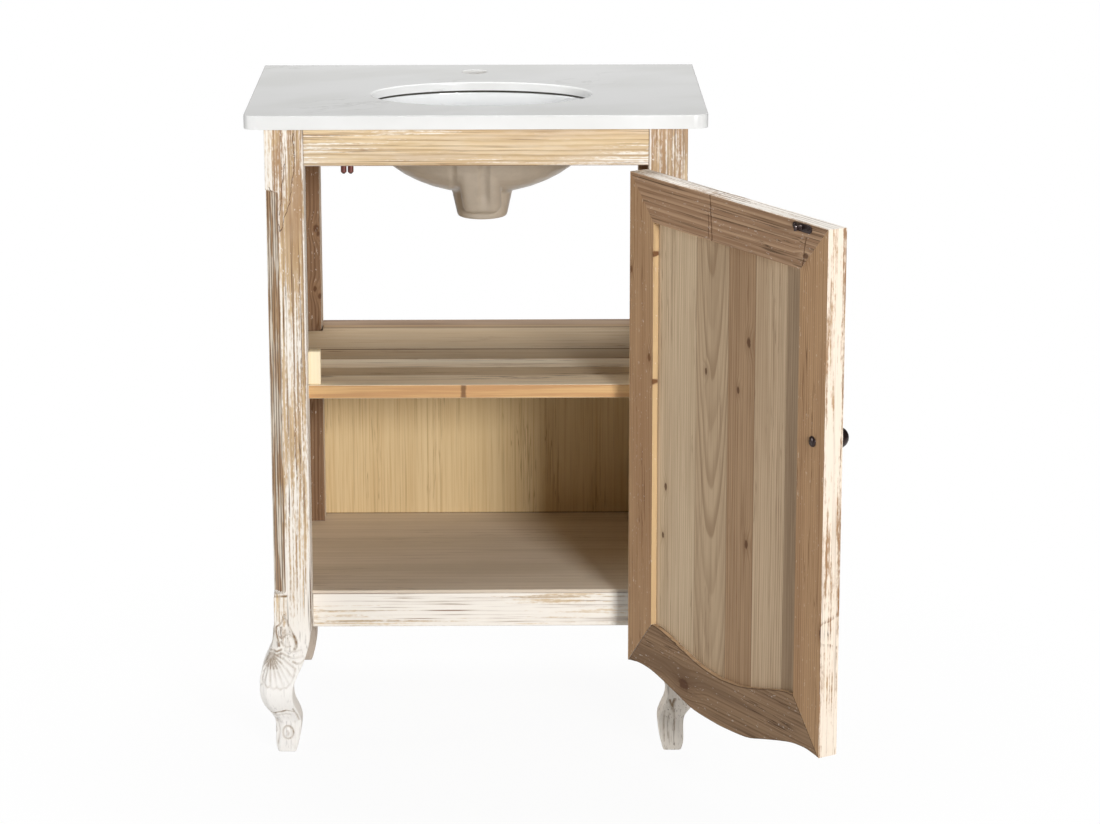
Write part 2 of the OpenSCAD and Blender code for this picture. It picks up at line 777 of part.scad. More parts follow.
// Leaf and knuckles; parts lists the thirds of the hinge's height that this leaf's knuckles take
module hinge_leaf(x, z, side, parts) {
    third = hinge_h / 3;
    leaf_x = side > 0 ? x : x - leaf_t;
    difference() {
        union() {
            difference() {
                translate([leaf_x, pin[1], z - hinge_h / 2]) cube([leaf_t, leaf_w + pin_front, hinge_h]);
                for (i = [0:2]) if (len(search(i, parts)) == 0)
                    translate([pin[0], pin[1], z - hinge_h / 2 + i * third - slip / 2])
                        cylinder(d = knuckle_d + slip, h = third + slip, $fn = 48);
            }
            for (i = parts) translate([pin[0], pin[1], z - hinge_h / 2 + i * third + slip / 2])
                cylinder(d = knuckle_d, h = third - slip, $fn = 48);
        }
        translate([pin[0], pin[1], z - hinge_h / 2 - past])
            cylinder(d = pin_d + 2 * fit, h = hinge_h + 2 * past, $fn = 48);
        at_leaf_screws(x - side * past, z, side)
            cylinder(d = screw_d + 2 * fit, h = leaf_t + 2 * past, $fn = 24);
    }
}

module leaf_screws(x, z, side) {
    at_leaf_screws(x, z, side) {
        translate([0, 0, -leaf_head_t]) cylinder(d = leaf_head_d, h = leaf_head_t, $fn = 24);
        cylinder(d = screw_d, h = screw_l, $fn = 24);
    }
}

module hinge_frame_leaves() { dark_metal() for (z = hinge_zs) hinge_leaf(in_right, z, 1, [0, 2]); }
module hinge_frame_screws() { dark_metal() for (z = hinge_zs) leaf_screws(in_right, z, 1); }
module hinge_door_leaves() { dark_metal() swing() for (z = hinge_zs) hinge_leaf(door_x1, z, -1, [1]); }
module hinge_door_screws() { dark_metal() swing() for (z = hinge_zs) leaf_screws(door_x1, z, -1); }

module hinge_pins() {
    dark_metal() for (z = hinge_zs) translate([pin[0], pin[1], z - hinge_h / 2 - pin_end])
        cylinder(d = pin_d, h = hinge_h + 2 * pin_end, $fn = 48);
}

// ---- Door ----

// Turns what is laid out at the closed door to where the door stands open
module swing() {
    translate([pin[0], pin[1], 0]) rotate([0, 0, door_open]) translate([-pin[0], -pin[1], 0]) children();
}

// A plate drawn from the hinge side and the floor, n inside the door's face and t thick
module door_plate(points, n, t) {
    translate([door_x1, y_front + n + t, 0]) rotate([90, 0, 0]) linear_extrude(t)
        mirror([1, 0, 0]) polygon(points);
}

function door_low_edge() = wave_line(door_wave, door_w / 2, door_w / 2, door_foot, door_dip);
function open_low_edge(grow) =
    wave_line(open_wave, door_w / 2, door_w / 2 - stile_w + grow, open_foot - grow, open_dip);

module panel_plate() {
    low = open_low_edge(panel_groove);
    top = open_head + panel_groove;
    door_plate(concat(low, [[low[len(low) - 1][0], top], [low[0][0], top]]), panel_n, panel_t);
}

module door_frame_piece(points) {
    difference() {
        door_plate(points, 0, door_t);
        panel_plate();
    }
}

module door_hinge_stile() {
    pine(0.85) swing() difference() {
        door_frame_piece([[0, door_foot], [stile_w, open_foot], [stile_w, open_head], [0, door_head]]);
        leaf_recess(door_x1, -1);
    }
}

module door_free_stile() {
    pine(0.85) swing() difference() {
        door_frame_piece([[door_w, door_foot], [door_w - stile_w, open_foot],
            [door_w - stile_w, open_head], [door_w, door_head]]);
        at_knob() translate([0, 0, -past])
            cylinder(d = knob_screw_d + 2 * fit, h = door_t + 2 * past, $fn = 32);
    }
}

module door_top_rail() {
    pine(0.8) swing() difference() {
        door_frame_piece([[0, door_head], [stile_w, open_head],
            [door_w - stile_w, open_head], [door_w, door_head]]);
        at_strike_screws() cylinder(d = screw_d + 2 * fit, h = screw_l + past, $fn = 24);
    }
}

module door_bottom_rail() {
    pine(0.75) swing() door_frame_piece(concat(door_low_edge(), reversed(open_low_edge(0))));
}

module door_board(i) {
    w = board_joints[i + 1] - board_joints[i];
    color([0.66 + 0.02 * (i % 2), 0.57 + 0.02 * (i % 3), 0.45]) swing() intersection() {
        panel_plate();
        translate([door_x1 - board_joints[i + 1], y_front, door_foot])
            cube([w, door_t, door_head - door_foot]);
    }
}

module door_board_1() { door_board(0); }
module door_board_2() { door_board(1); }
module door_board_3() { door_board(2); }
module door_board_4() { door_board(3); }
module door_board_5() { door_board(4); }

// Places Z along the knob's axis, from the door's outer face inwards
module at_knob() {
    translate([door_x0 + knob_edge, y_front, knob_z]) rotate([-90, 0, 0]) children();
}

module knob() {
    r = knob_d / 2;
    crown = knob_h - knob_neck;
    dark_metal() swing() at_knob() mirror([0, 0, 1]) difference() {
        rotate_extrude($fn = 64) polygon(concat(
            [[0, 0], [knob_foot_r, 0], [knob_foot_r, knob_foot_t], [knob_neck_r, knob_cove],
                [knob_neck_r, knob_neck - knob_cove]],
            [for (a = [-30:10:90]) [r * cos(a), knob_neck + (a < 0 ? knob_under : crown) * sin(a)]]));
        translate([0, 0, -past]) cylinder(d = knob_screw_d + 2 * fit, h = knob_bore + past, $fn = 32);
    }
}

module knob_screw() {
    r = knob_head_d / 2;
    dark_metal() swing() at_knob() {
        translate([0, 0, past - knob_bore]) cylinder(d = knob_screw_d, h = door_t + knob_bore, $fn = 32);
        translate([0, 0, door_t]) rotate_extrude($fn = 48) polygon(concat([[0, 0]],
            [for (a = [0:10:90]) [r * cos(a), knob_dome * sin(a)]]));
    }
}

// Places Z into the door's inner face at each screw of the strike
module at_strike_screws() {
    for (s = [-1, 1])
        translate([catch_x + s * (strike_w / 2 - strike_screw_in), y_front + door_t, strike_z])
            rotate([90, 0, 0]) children();
}

module strike_plate() {
    half = strike_w / 2;
    ear_r = (strike_h - strike_ear_less) / 2;
    shoulder_y = spear_l - spear_head_l;
    neck = spear_neck / 2;
    head = spear_head / 2;
    tip = spear_tip / 2;
    y0 = y_front + door_t;
    dark_metal() swing() difference() {
        union() {
            translate([catch_x - half + ear_r, y0, strike_z - strike_h / 2])
                cube([strike_w - 2 * ear_r, strike_t, strike_h]);
            for (s = [-1, 1]) translate([catch_x + s * (half - ear_r), y0, strike_z])
                rotate([-90, 0, 0]) cylinder(r = ear_r, h = strike_t, $fn = 32);
            translate([catch_x, y0 + strike_t / 2, strike_z - spear_h / 2]) linear_extrude(spear_h) polygon([
                [-neck, 0], [neck, 0], [neck, shoulder_y], [head, shoulder_y + spear_barb],
                [tip, spear_l], [-tip, spear_l], [-head, shoulder_y + spear_barb],
                [-neck, shoulder_y]]);
        }
        at_strike_screws() translate([0, 0, -strike_t - past])
            cylinder(d = screw_d + 2 * fit, h = strike_t + 2 * past, $fn = 24);
    }
}

module strike_screws() {
    dark_metal() swing() at_strike_screws() {
        translate([0, 0, -strike_t - strike_head_t])
            cylinder(d1 = strike_head_top_d, d2 = strike_head_d, h = strike_head_t, $fn = 24);
        translate([0, 0, -strike_t]) cylinder(d = screw_d, h = screw_l + strike_t, $fn = 24);
    }
}

marble_top();
basin();
rim_seal();
basin_clips();
clip_screws();
front_leg_left();
front_leg_right();
rear_leg_left();
rear_leg_right();
front_top_rail();
front_bottom_rail();
rear_top_rail();
rear_shelf_rail();
rear_bottom_rail();
side_top_rail_left();
side_top_rail_right();
side_bottom_rail_left();
side_bottom_rail_right();
side_panel_left();
side_panel_right();
middle_shelf();
shelf_cleats();
shelf_blocks();
bottom_board();
back_panel();
catch_block();
catch_base();
catch_screws();
catch_pins();
catch_springs();
catch_arm_left();
catch_arm_right();
catch_roller_left();
catch_roller_right();
hinge_frame_leaves();
hinge_frame_screws();
hinge_pins();
door_hinge_stile();
door_free_stile();
door_top_rail();
door_bottom_rail();
door_board_1();
door_board_2();
door_board_3();
door_board_4();
door_board_5();
hinge_door_leaves();
hinge_door_screws();
strike_plate();
strike_screws();
knob();
knob_screw();
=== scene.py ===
"""Looks of a free-standing washstand with a marble top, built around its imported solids.

Lengths are metres in the frame of the solids: X to the right along the front, Y to the back and Z up
from the floor. At rest the door stands open by OPEN_ANGLE.
"""

import json
import logging
import math
from dataclasses import dataclass, field
from enum import Enum

import bmesh
import bpy
from mathutils import Matrix, Vector


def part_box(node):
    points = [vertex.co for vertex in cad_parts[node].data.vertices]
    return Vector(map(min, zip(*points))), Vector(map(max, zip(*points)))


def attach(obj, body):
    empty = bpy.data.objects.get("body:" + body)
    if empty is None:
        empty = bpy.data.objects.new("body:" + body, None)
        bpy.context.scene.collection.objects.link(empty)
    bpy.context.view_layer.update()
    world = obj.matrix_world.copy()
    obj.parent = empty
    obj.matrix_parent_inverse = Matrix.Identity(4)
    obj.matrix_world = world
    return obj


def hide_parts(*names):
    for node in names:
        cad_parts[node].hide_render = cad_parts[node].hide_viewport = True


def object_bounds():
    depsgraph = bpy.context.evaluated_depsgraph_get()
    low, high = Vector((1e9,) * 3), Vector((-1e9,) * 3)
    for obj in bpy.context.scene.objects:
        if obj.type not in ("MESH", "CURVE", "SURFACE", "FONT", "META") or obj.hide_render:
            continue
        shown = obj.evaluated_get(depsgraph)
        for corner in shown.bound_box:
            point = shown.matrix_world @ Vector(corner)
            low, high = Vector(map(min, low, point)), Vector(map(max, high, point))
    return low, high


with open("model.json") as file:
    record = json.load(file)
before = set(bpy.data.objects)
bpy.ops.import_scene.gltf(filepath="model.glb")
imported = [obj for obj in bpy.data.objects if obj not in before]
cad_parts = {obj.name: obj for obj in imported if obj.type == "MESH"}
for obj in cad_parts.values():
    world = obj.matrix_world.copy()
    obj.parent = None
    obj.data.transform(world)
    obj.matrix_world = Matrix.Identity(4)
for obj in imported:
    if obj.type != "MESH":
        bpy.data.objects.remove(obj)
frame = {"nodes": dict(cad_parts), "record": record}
CAD_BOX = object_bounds()

LOG = logging.getLogger("washstand")

RECORD = frame["record"]
BODY_OF = {node: body for body, nodes in RECORD["behaviour"]["bodies"].items() for node in nodes}
SLOT_OF = {part["node"]: part["material_slot"] for part in RECORD["subparts"]}
HINGE_PIN = Vector(next(j for j in RECORD["behaviour"]["joints"] if j["name"] == "door_hinge")["pos_m"])
HINGE_PIN.z = 0.0

MM = 0.001
WELD = 0.01 * MM
FLAT_ANGLE = math.radians(0.6)
SHARP_ANGLE = math.radians(28)
CREASE_ANGLE = math.radians(38)
LARGE_FACE = 600 * MM * MM
SMOOTH_SHARE = 0.5
EASED_SEGMENTS = 2
OPEN_ANGLE = math.radians(120)

LEFT = (-1.0, 0.0, 0.0)
RIGHT = (1.0, 0.0, 0.0)
FRONT = (0.0, -1.0, 0.0)
BACK = (0.0, 1.0, 0.0)
DOWN = (0.0, 0.0, -1.0)
UP = (0.0, 0.0, 1.0)
NOISE_MIDDLE = (0.5, 0.5, 0.5)

Colour = tuple[float, float, float, float]
Place = tuple[float, float, float]
Value = float | Colour | Place | bpy.types.NodeSocket
Sockets = bpy.types.bpy_prop_collection


def turned_with_door(direction: Place) -> Place:
    """Turns a direction on the closed door into the one on the open door."""
    return tuple(Matrix.Rotation(OPEN_ANGLE, 3, "Z") @ Vector(direction))


def paint(red: int, green: int, blue: int) -> Colour:
    """Turns a display colour into a linear one.

    Args:
        red: Red from 0 to 255.
        green: Green from 0 to 255.
        blue: Blue from 0 to 255.

    Returns:
        The linear colour, opaque.
    """
    def linear(level: int) -> float:
        """Gives the linear value of one channel."""
        share = level / 255
        return share / 12.92 if share <= 0.04045 else ((share + 0.055) / 1.055) ** 2.4
    return linear(red), linear(green), linear(blue), 1.0


class Grain(Enum):
    """Way in which the fibres of a board run, then the way across them, then its depth."""

    LEFT_TO_RIGHT = "XZY"
    SHELF = "XYZ"
    UPRIGHT = "ZXY"
    UPRIGHT_SIDE = "ZYX"
    FRONT_TO_BACK = "YZX"


class Setting(Enum):
    """Where a board is: fixed in the stand, or on the door that stands open."""

    STAND = "stand"
    DOOR = "door"


class Rim(Enum):
    """Top edges of the slab: round the slab itself, round the basin's cut-out or round the tap hole."""

    OUTER = "outer"
    CUT_OUT = "cut_out"
    TAP = "tap"


# ---- Shader nodes ----


class Graph:
    """Adds nodes to one node tree and joins them."""

    def __init__(self, tree: bpy.types.NodeTree) -> None:
        """Keeps the tree that the nodes go into."""
        self.tree = tree

    def put(self, socket: bpy.types.NodeSocket, value: Value) -> None:
        """Joins a socket to a socket, or sets its value.

        Args:
            socket: The input that is filled.
            value: A value, or the socket that it comes from.
        """
        if isinstance(value, bpy.types.NodeSocket):
            self.tree.links.new(value, socket)
        else:
            socket.default_value = value

    def add(self, kind: str, inputs: dict | None = None, **settings: object) -> bpy.types.Node:
        """Adds one node.

        Args:
            kind: The node's type.
            inputs: A value or a socket for each input, by name or number.
            settings: The node's own properties.

        Returns:
            The node.
        """
        node = self.tree.nodes.new(kind)
        for name, value in settings.items():
            setattr(node, name, value)
        for name, value in (inputs or {}).items():
            self.put(node.inputs[name], value)
        return node

    def math(self, operation: str, first: Value, second: Value = 0.0, clamp: bool = False
             ) -> bpy.types.NodeSocket:
        """Works out one number from two.

        Args:
            operation: The operation's name.
            first: The first number.
            second: The second number.
            clamp: Whether the result is kept between 0 and 1.

        Returns:
            The socket with the result.
        """
        node = self.add("ShaderNodeMath", {0: first, 1: second}, operation=operation, use_clamp=clamp)
        return node.outputs[0]

    def vector(self, operation: str, first: Value, second: Value = (0.0, 0.0, 0.0)
               ) -> bpy.types.NodeSocket:
        """Works out a vector from two, or a number where the operation gives one.

        Args:
            operation: The operation's name.
            first: The first vector.
            second: The second vector.

        Returns:
            The socket with the result.
        """
        node = self.add("ShaderNodeVectorMath", {0: first, 1: second}, operation=operation)
        gives_number = operation in ("DOT_PRODUCT", "LENGTH", "DISTANCE")
        return node.outputs["Value" if gives_number else "Vector"]

    def step(self, value: Value, low: Value, high: Value, falling: bool = False
             ) -> bpy.types.NodeSocket:
        """Gives a smooth step from 0 to 1 between two levels.

        Args:
            value: The number that is tested.
            low: Where the step starts.
            high: Where the step ends.
            falling: Whether it goes from 1 to 0 instead.

        Returns:
            The socket with the step.
        """
        ends = {"To Min": 1.0, "To Max": 0.0} if falling else {"To Min": 0.0, "To Max": 1.0}
        node = self.add("ShaderNodeMapRange", {"Value": value, "From Min": low, "From Max": high, **ends},
                        interpolation_type="SMOOTHSTEP")
        return node.outputs["Result"]

    def noise(self, vector: Value, scale: Place, seed: Value = 0.0, detail: float = 2.0,
              roughness: float = 0.5) -> bpy.types.Node:
        """Adds a noise that is stretched along the axes.

        Args:
            vector: The place.
            scale: How fast the noise changes along each axis, per metre.
            seed: A number that moves the pattern.
            detail: How many finer layers the noise has.
            roughness: How strong the finer layers are.

        Returns:
            The noise node.
        """
        stretched = self.vector("MULTIPLY", vector, scale)
        shift = self.add("ShaderNodeCombineXYZ", {"X": seed, "Y": seed, "Z": seed}).outputs[0]
        moved = self.vector("ADD", stretched, shift)
        return self.add("ShaderNodeTexNoise", {
            "Vector": moved, "Scale": 1.0, "Detail": detail, "Roughness": roughness})

    def mix(self, factor: Value, first: Value, second: Value, blend: str = "MIX"
            ) -> bpy.types.NodeSocket:
        """Mixes two colours.

        Args:
            factor: Share of the second colour.
            first: The first colour.
            second: The second colour.
            blend: The way of mixing.

        Returns:
            The socket with the colour.
        """
        node = self.add("ShaderNodeMix", {0: factor, 6: first, 7: second}, data_type="RGBA",
                        blend_type=blend, clamp_factor=True)
        return node.outputs[2]

    def bands(self, value: Value, stops: list[tuple[float, Colour]]) -> bpy.types.NodeSocket:
        """Gives the colour at a place on a row of colours, each of which holds up to the next.

        Args:
            value: The place, from 0 to 1.
            stops: The places where the colours start, and the colours.

        Returns:
            The socket with the colour.
        """
        node = self.add("ShaderNodeValToRGB", {"Fac": value})
        node.color_ramp.interpolation = "CONSTANT"
        elements = node.color_ramp.elements
        while len(elements) < len(stops):
            elements.new(1.0)
        for element, (place, colour) in zip(elements, stops):
            element.position = place
            element.color = colour
        return node.outputs["Color"]

    def group(self, tree: bpy.types.NodeTree, inputs: dict[str, Value]) -> bpy.types.Node:
        """Places a node group with its values.

        Args:
            tree: The group.
            inputs: A value or a socket for each of its inputs.

        Returns:
            The node that holds the group.
        """
        node = self.tree.nodes.new("ShaderNodeGroup")
        node.node_tree = tree
        for name, value in inputs.items():
            self.put(node.inputs[name], value)
        return node


class NodeGroup:
    """A shader node group with named inputs and outputs, built once."""

    def __init__(self, name: str, inputs: dict[str, str], outputs: dict[str, str]) -> None:
        """Makes the group and its sockets.

        Args:
            name: The group's name.
            inputs: The kind of socket of each input.
            outputs: The kind of socket of each output.
        """
        self.tree = bpy.data.node_groups.new(name, "ShaderNodeTree")
        for direction, sockets in (("INPUT", inputs), ("OUTPUT", outputs)):
            for socket_name, kind in sockets.items():
                self.tree.interface.new_socket(socket_name, in_out=direction, socket_type="NodeSocket" + kind)
        self.graph = Graph(self.tree)
        self.given = self.graph.add("NodeGroupInput").outputs
        self.taken = self.graph.add("NodeGroupOutput").inputs

    def give(self, **values: bpy.types.NodeSocket) -> bpy.types.NodeTree:
        """Joins the outputs.

        Args:
            values: The socket for each output, by the output's name.

        Returns:
            The finished group.
        """
        for name, value in values.items():
            self.graph.put(self.taken[name], value)
        return self.tree


@dataclass
class WoodGroups:
    """The effects that the woods share."""

    pith: bpy.types.NodeTree = field(init=False)
    knot: bpy.types.NodeTree = field(init=False)
    rings: bpy.types.NodeTree = field(init=False)
    age: bpy.types.NodeTree = field(init=False)
    scar: bpy.types.NodeTree = field(init=False)
    lime: bpy.types.NodeTree = field(init=False)

    def __post_init__(self) -> None:
        """Builds the six groups."""
        self.pith = self.build_pith()
        self.knot = self.build_knot()
        self.rings = self.build_rings()
        self.age = self.build_age()
        self.scar = self.build_scar()
        self.lime = self.build_lime()

    def build_pith(self) -> bpy.types.NodeTree:
        """Builds the group that gives the distance from the tree's pith, a little warped.

        Returns:
            The group.
        """
        group = NodeGroup("pith_distance", {
            "Vector": "Vector", "Pith": "Vector", "Slope": "Float", "Warp": "Float", "Seed": "Float"},
            {"Distance": "Float"})
        g, given = group.graph, group.given
        waves = g.noise(given["Vector"], (2.6, 19.0, 19.0), given["Seed"]).outputs["Color"]
        centred = g.vector("SUBTRACT", waves, NOISE_MIDDLE)
        scaled = g.add("ShaderNodeVectorMath", {0: centred, "Scale": given["Warp"]}, operation="SCALE")
        from_pith = g.vector("SUBTRACT", g.vector("ADD", given["Vector"], scaled.outputs[0]), given["Pith"])
        parts = g.add("ShaderNodeSeparateXYZ", {0: from_pith}).outputs
        depth = g.math("SUBTRACT", parts["Z"], g.math("MULTIPLY", parts["X"], given["Slope"]))
        flat = g.add("ShaderNodeCombineXYZ", {"X": 0.0, "Y": parts["Y"], "Z": depth}).outputs[0]
        return group.give(Distance=g.vector("LENGTH", flat))

    def build_knot(self) -> bpy.types.NodeTree:
        """Builds the group that adds one knot and bends the rings round it.

        Returns:
            The group.
        """
        group = NodeGroup("knot_in_board", {
            "Vector": "Vector", "Centre": "Vector", "Size": "Float", "Distance": "Float",
            "Core": "Float", "Halo": "Float"}, {"Distance": "Float", "Core": "Float", "Halo": "Float"})
        g, given = group.graph, group.given
        away = g.vector("MULTIPLY", g.vector("SUBTRACT", given["Vector"], given["Centre"]), (0.6, 1.0, 0.3))
        waves = g.noise(given["Vector"], (160.0, 160.0, 90.0)).outputs["Fac"]
        plain = g.math("DIVIDE", g.vector("LENGTH", away), given["Size"])
        relative = g.math("ADD", plain, g.math("MULTIPLY", g.math("SUBTRACT", waves, 0.5), 0.9))
        core = g.math("MAXIMUM", given["Core"], g.step(relative, 0.6, 1.15, falling=True))
        halo = g.math("MAXIMUM", given["Halo"], g.step(relative, 0.8, 3.4, falling=True))
        push = g.math("MULTIPLY", g.step(plain, 0.0, 4.5, falling=True), given["Size"])
        distance = g.math("ADD", given["Distance"], g.math("MULTIPLY", push, 1.6))
        return group.give(Distance=distance, Core=core, Halo=halo)

    def build_rings(self) -> bpy.types.NodeTree:
        """Builds the group that turns the distance from the pith into rings and fibres.

        Returns:
            The group.
        """
        group = NodeGroup("growth_rings", {
            "Vector": "Vector", "Distance": "Float", "Spacing": "Float", "Seed": "Float"},
            {"Late": "Float", "Fibre": "Float", "Patch": "Float", "Height": "Float"})
        g, given = group.graph, group.given
        count = g.math("DIVIDE", given["Distance"], given["Spacing"])
        share = g.math("FRACT", count)
        which = g.math("ADD", g.math("FLOOR", count), given["Seed"])
        weight = g.add("ShaderNodeTexWhiteNoise", {"W": which}, noise_dimensions="1D").outputs["Value"]
        rise = g.math("MULTIPLY", g.step(share, 0.3, 0.85), g.step(share, 0.88, 1.0, falling=True))
        late = g.math("MULTIPLY", rise, g.math("ADD", g.math("MULTIPLY", weight, 0.75), 0.25))
        fibre = g.noise(given["Vector"], (6.0, 420.0, 420.0), given["Seed"], 3.0, 0.65).outputs["Fac"]
        patch = g.noise(given["Vector"], (1.7, 24.0, 24.0), given["Seed"], 3.0, 0.6).outputs["Fac"]
        height = g.math("ADD", g.math("MULTIPLY", late, 0.6), g.math("MULTIPLY", fibre, 0.5))
        return group.give(Late=late, Fibre=fibre, Patch=patch, Height=height)

    def build_age(self) -> bpy.types.NodeTree:
        """Builds the group that gives the cracks, pale flecks, brushed lines and veil of old wood.

        Returns:
            The group.
        """
        group = NodeGroup("age_of_wood", {"Vector": "Vector", "Seed": "Float"},
                          {"Crack": "Float", "Fleck": "Float", "Line": "Float", "Veil": "Float"})
        g, given = group.graph, group.given
        lines = g.noise(given["Vector"], (3.0, 110.0, 110.0), given["Seed"], 3.0, 0.6).outputs["Fac"]
        off_line = g.math("ABSOLUTE", g.math("SUBTRACT", lines, 0.5))
        places = g.noise(given["Vector"], (5.0, 26.0, 26.0), given["Seed"], 2.0).outputs["Fac"]
        line = g.step(off_line, 0.002, 0.016, falling=True)
        crack = g.math("MULTIPLY", line, g.step(places, 0.5, 0.62))
        dots = g.noise(given["Vector"], (130.0, 330.0, 330.0), given["Seed"], 2.0, 0.6).outputs["Fac"]
        thin = g.noise(given["Vector"], (4.0, 400.0, 400.0), given["Seed"], 3.0, 0.6).outputs["Fac"]
        thick = g.noise(given["Vector"], (9.0, 60.0, 60.0), given["Seed"], 2.0).outputs["Fac"]
        brushed = g.math("MULTIPLY", g.step(thin, 0.54, 0.66), g.step(thick, 0.34, 0.6))
        veil = g.noise(given["Vector"], (14.0, 75.0, 75.0), given["Seed"], 4.0, 0.65).outputs["Fac"]
        return group.give(Crack=crack, Fleck=g.step(dots, 0.66, 0.72), Line=brushed,
                          Veil=g.step(veil, 0.35, 0.7))

    def build_scar(self) -> bpy.types.NodeTree:
        """Builds the group that adds one wavering split between two places on the face of a board.

        Returns:
            The group.
        """
        group = NodeGroup("split_in_board", {
            "Vector": "Vector", "Start": "Vector", "Run": "Vector", "Width": "Float", "Mask": "Float"},
            {"Mask": "Float"})
        g, given = group.graph, group.given
        waves = g.noise(given["Vector"], (90.0, 90.0, 90.0), 0.0, 3.0, 0.6).outputs["Color"]
        waver = g.vector("MULTIPLY", g.vector("SUBTRACT", waves, NOISE_MIDDLE), (6 * MM, 6 * MM, 0.0))
        from_start = g.vector("SUBTRACT", g.vector("ADD", given["Vector"], waver), given["Start"])
        flat = g.vector("MULTIPLY", from_start, (1.0, 1.0, 0.0))
        length = g.vector("DOT_PRODUCT", given["Run"], given["Run"])
        share = g.math("DIVIDE", g.vector("DOT_PRODUCT", flat, given["Run"]), length, clamp=True)
        along = g.add("ShaderNodeVectorMath", {0: given["Run"], "Scale": share}, operation="SCALE").outputs[0]
        away = g.math("DIVIDE", g.vector("LENGTH", g.vector("SUBTRACT", flat, along)), given["Width"])
        return group.give(Mask=g.math("MAXIMUM", given["Mask"], g.step(away, 0.3, 1.0, falling=True)))

    def build_lime(self) -> bpy.types.NodeTree:
        """Builds the group that shows where lime wash is left in the grain.

        Returns:
            The group.
        """
        group = NodeGroup("lime_wash", {
            "Vector": "Vector", "Cover": "Float", "Late": "Float", "Arris": "Float", "Seed": "Float"},
            {"Mask": "Float"})
        g, given = group.graph, group.given
        streaks = g.noise(given["Vector"], (6.0, 380.0, 380.0), given["Seed"], 4.0, 0.7).outputs["Fac"]
        clouds = g.noise(given["Vector"], (3.6, 26.0, 26.0), given["Seed"], 3.0, 0.6).outputs["Fac"]
        flecks = g.noise(given["Vector"], (120.0, 380.0, 380.0), given["Seed"], 2.0, 0.6).outputs["Fac"]
        level = g.math("ADD", g.math("MULTIPLY", streaks, 0.45), g.math("MULTIPLY", clouds, 0.40))
        level = g.math("ADD", level, g.math("MULTIPLY", flecks, 0.15))
        level = g.math("SUBTRACT", level, g.math("MULTIPLY", given["Late"], 0.05))
        level = g.math("ADD", level, g.math("MULTIPLY", given["Arris"], 0.05))
        edge = g.math("SUBTRACT", 0.66, g.math("MULTIPLY", given["Cover"], 0.32))
        above = g.math("SUBTRACT", level, edge)
        return group.give(Mask=g.step(above, -0.04, 0.04))


# ---- Finishes ----

PATCH_SHARE = 0.8
HALO_SHARE = 0.4
CORE_SHARE = 0.85
LIME_SHARE = 0.96
CORNER_SHADE_SHARE = 0.8
SPLIT_SHARE = 0.8
AGE_SEED = 2.9
LIME_SEED = 7.3


@dataclass(frozen=True)
class Knot:
    """One knot: its place along and across the board, its radius, and how deep in the board it lies."""

    along: float
    across: float
    size: float
    depth: float = 0.0


@dataclass(frozen=True)
class Split:
    """One split: where it starts and ends along and across the board, and half its width."""

    start: tuple[float, float]
    end: tuple[float, float]
    width: float


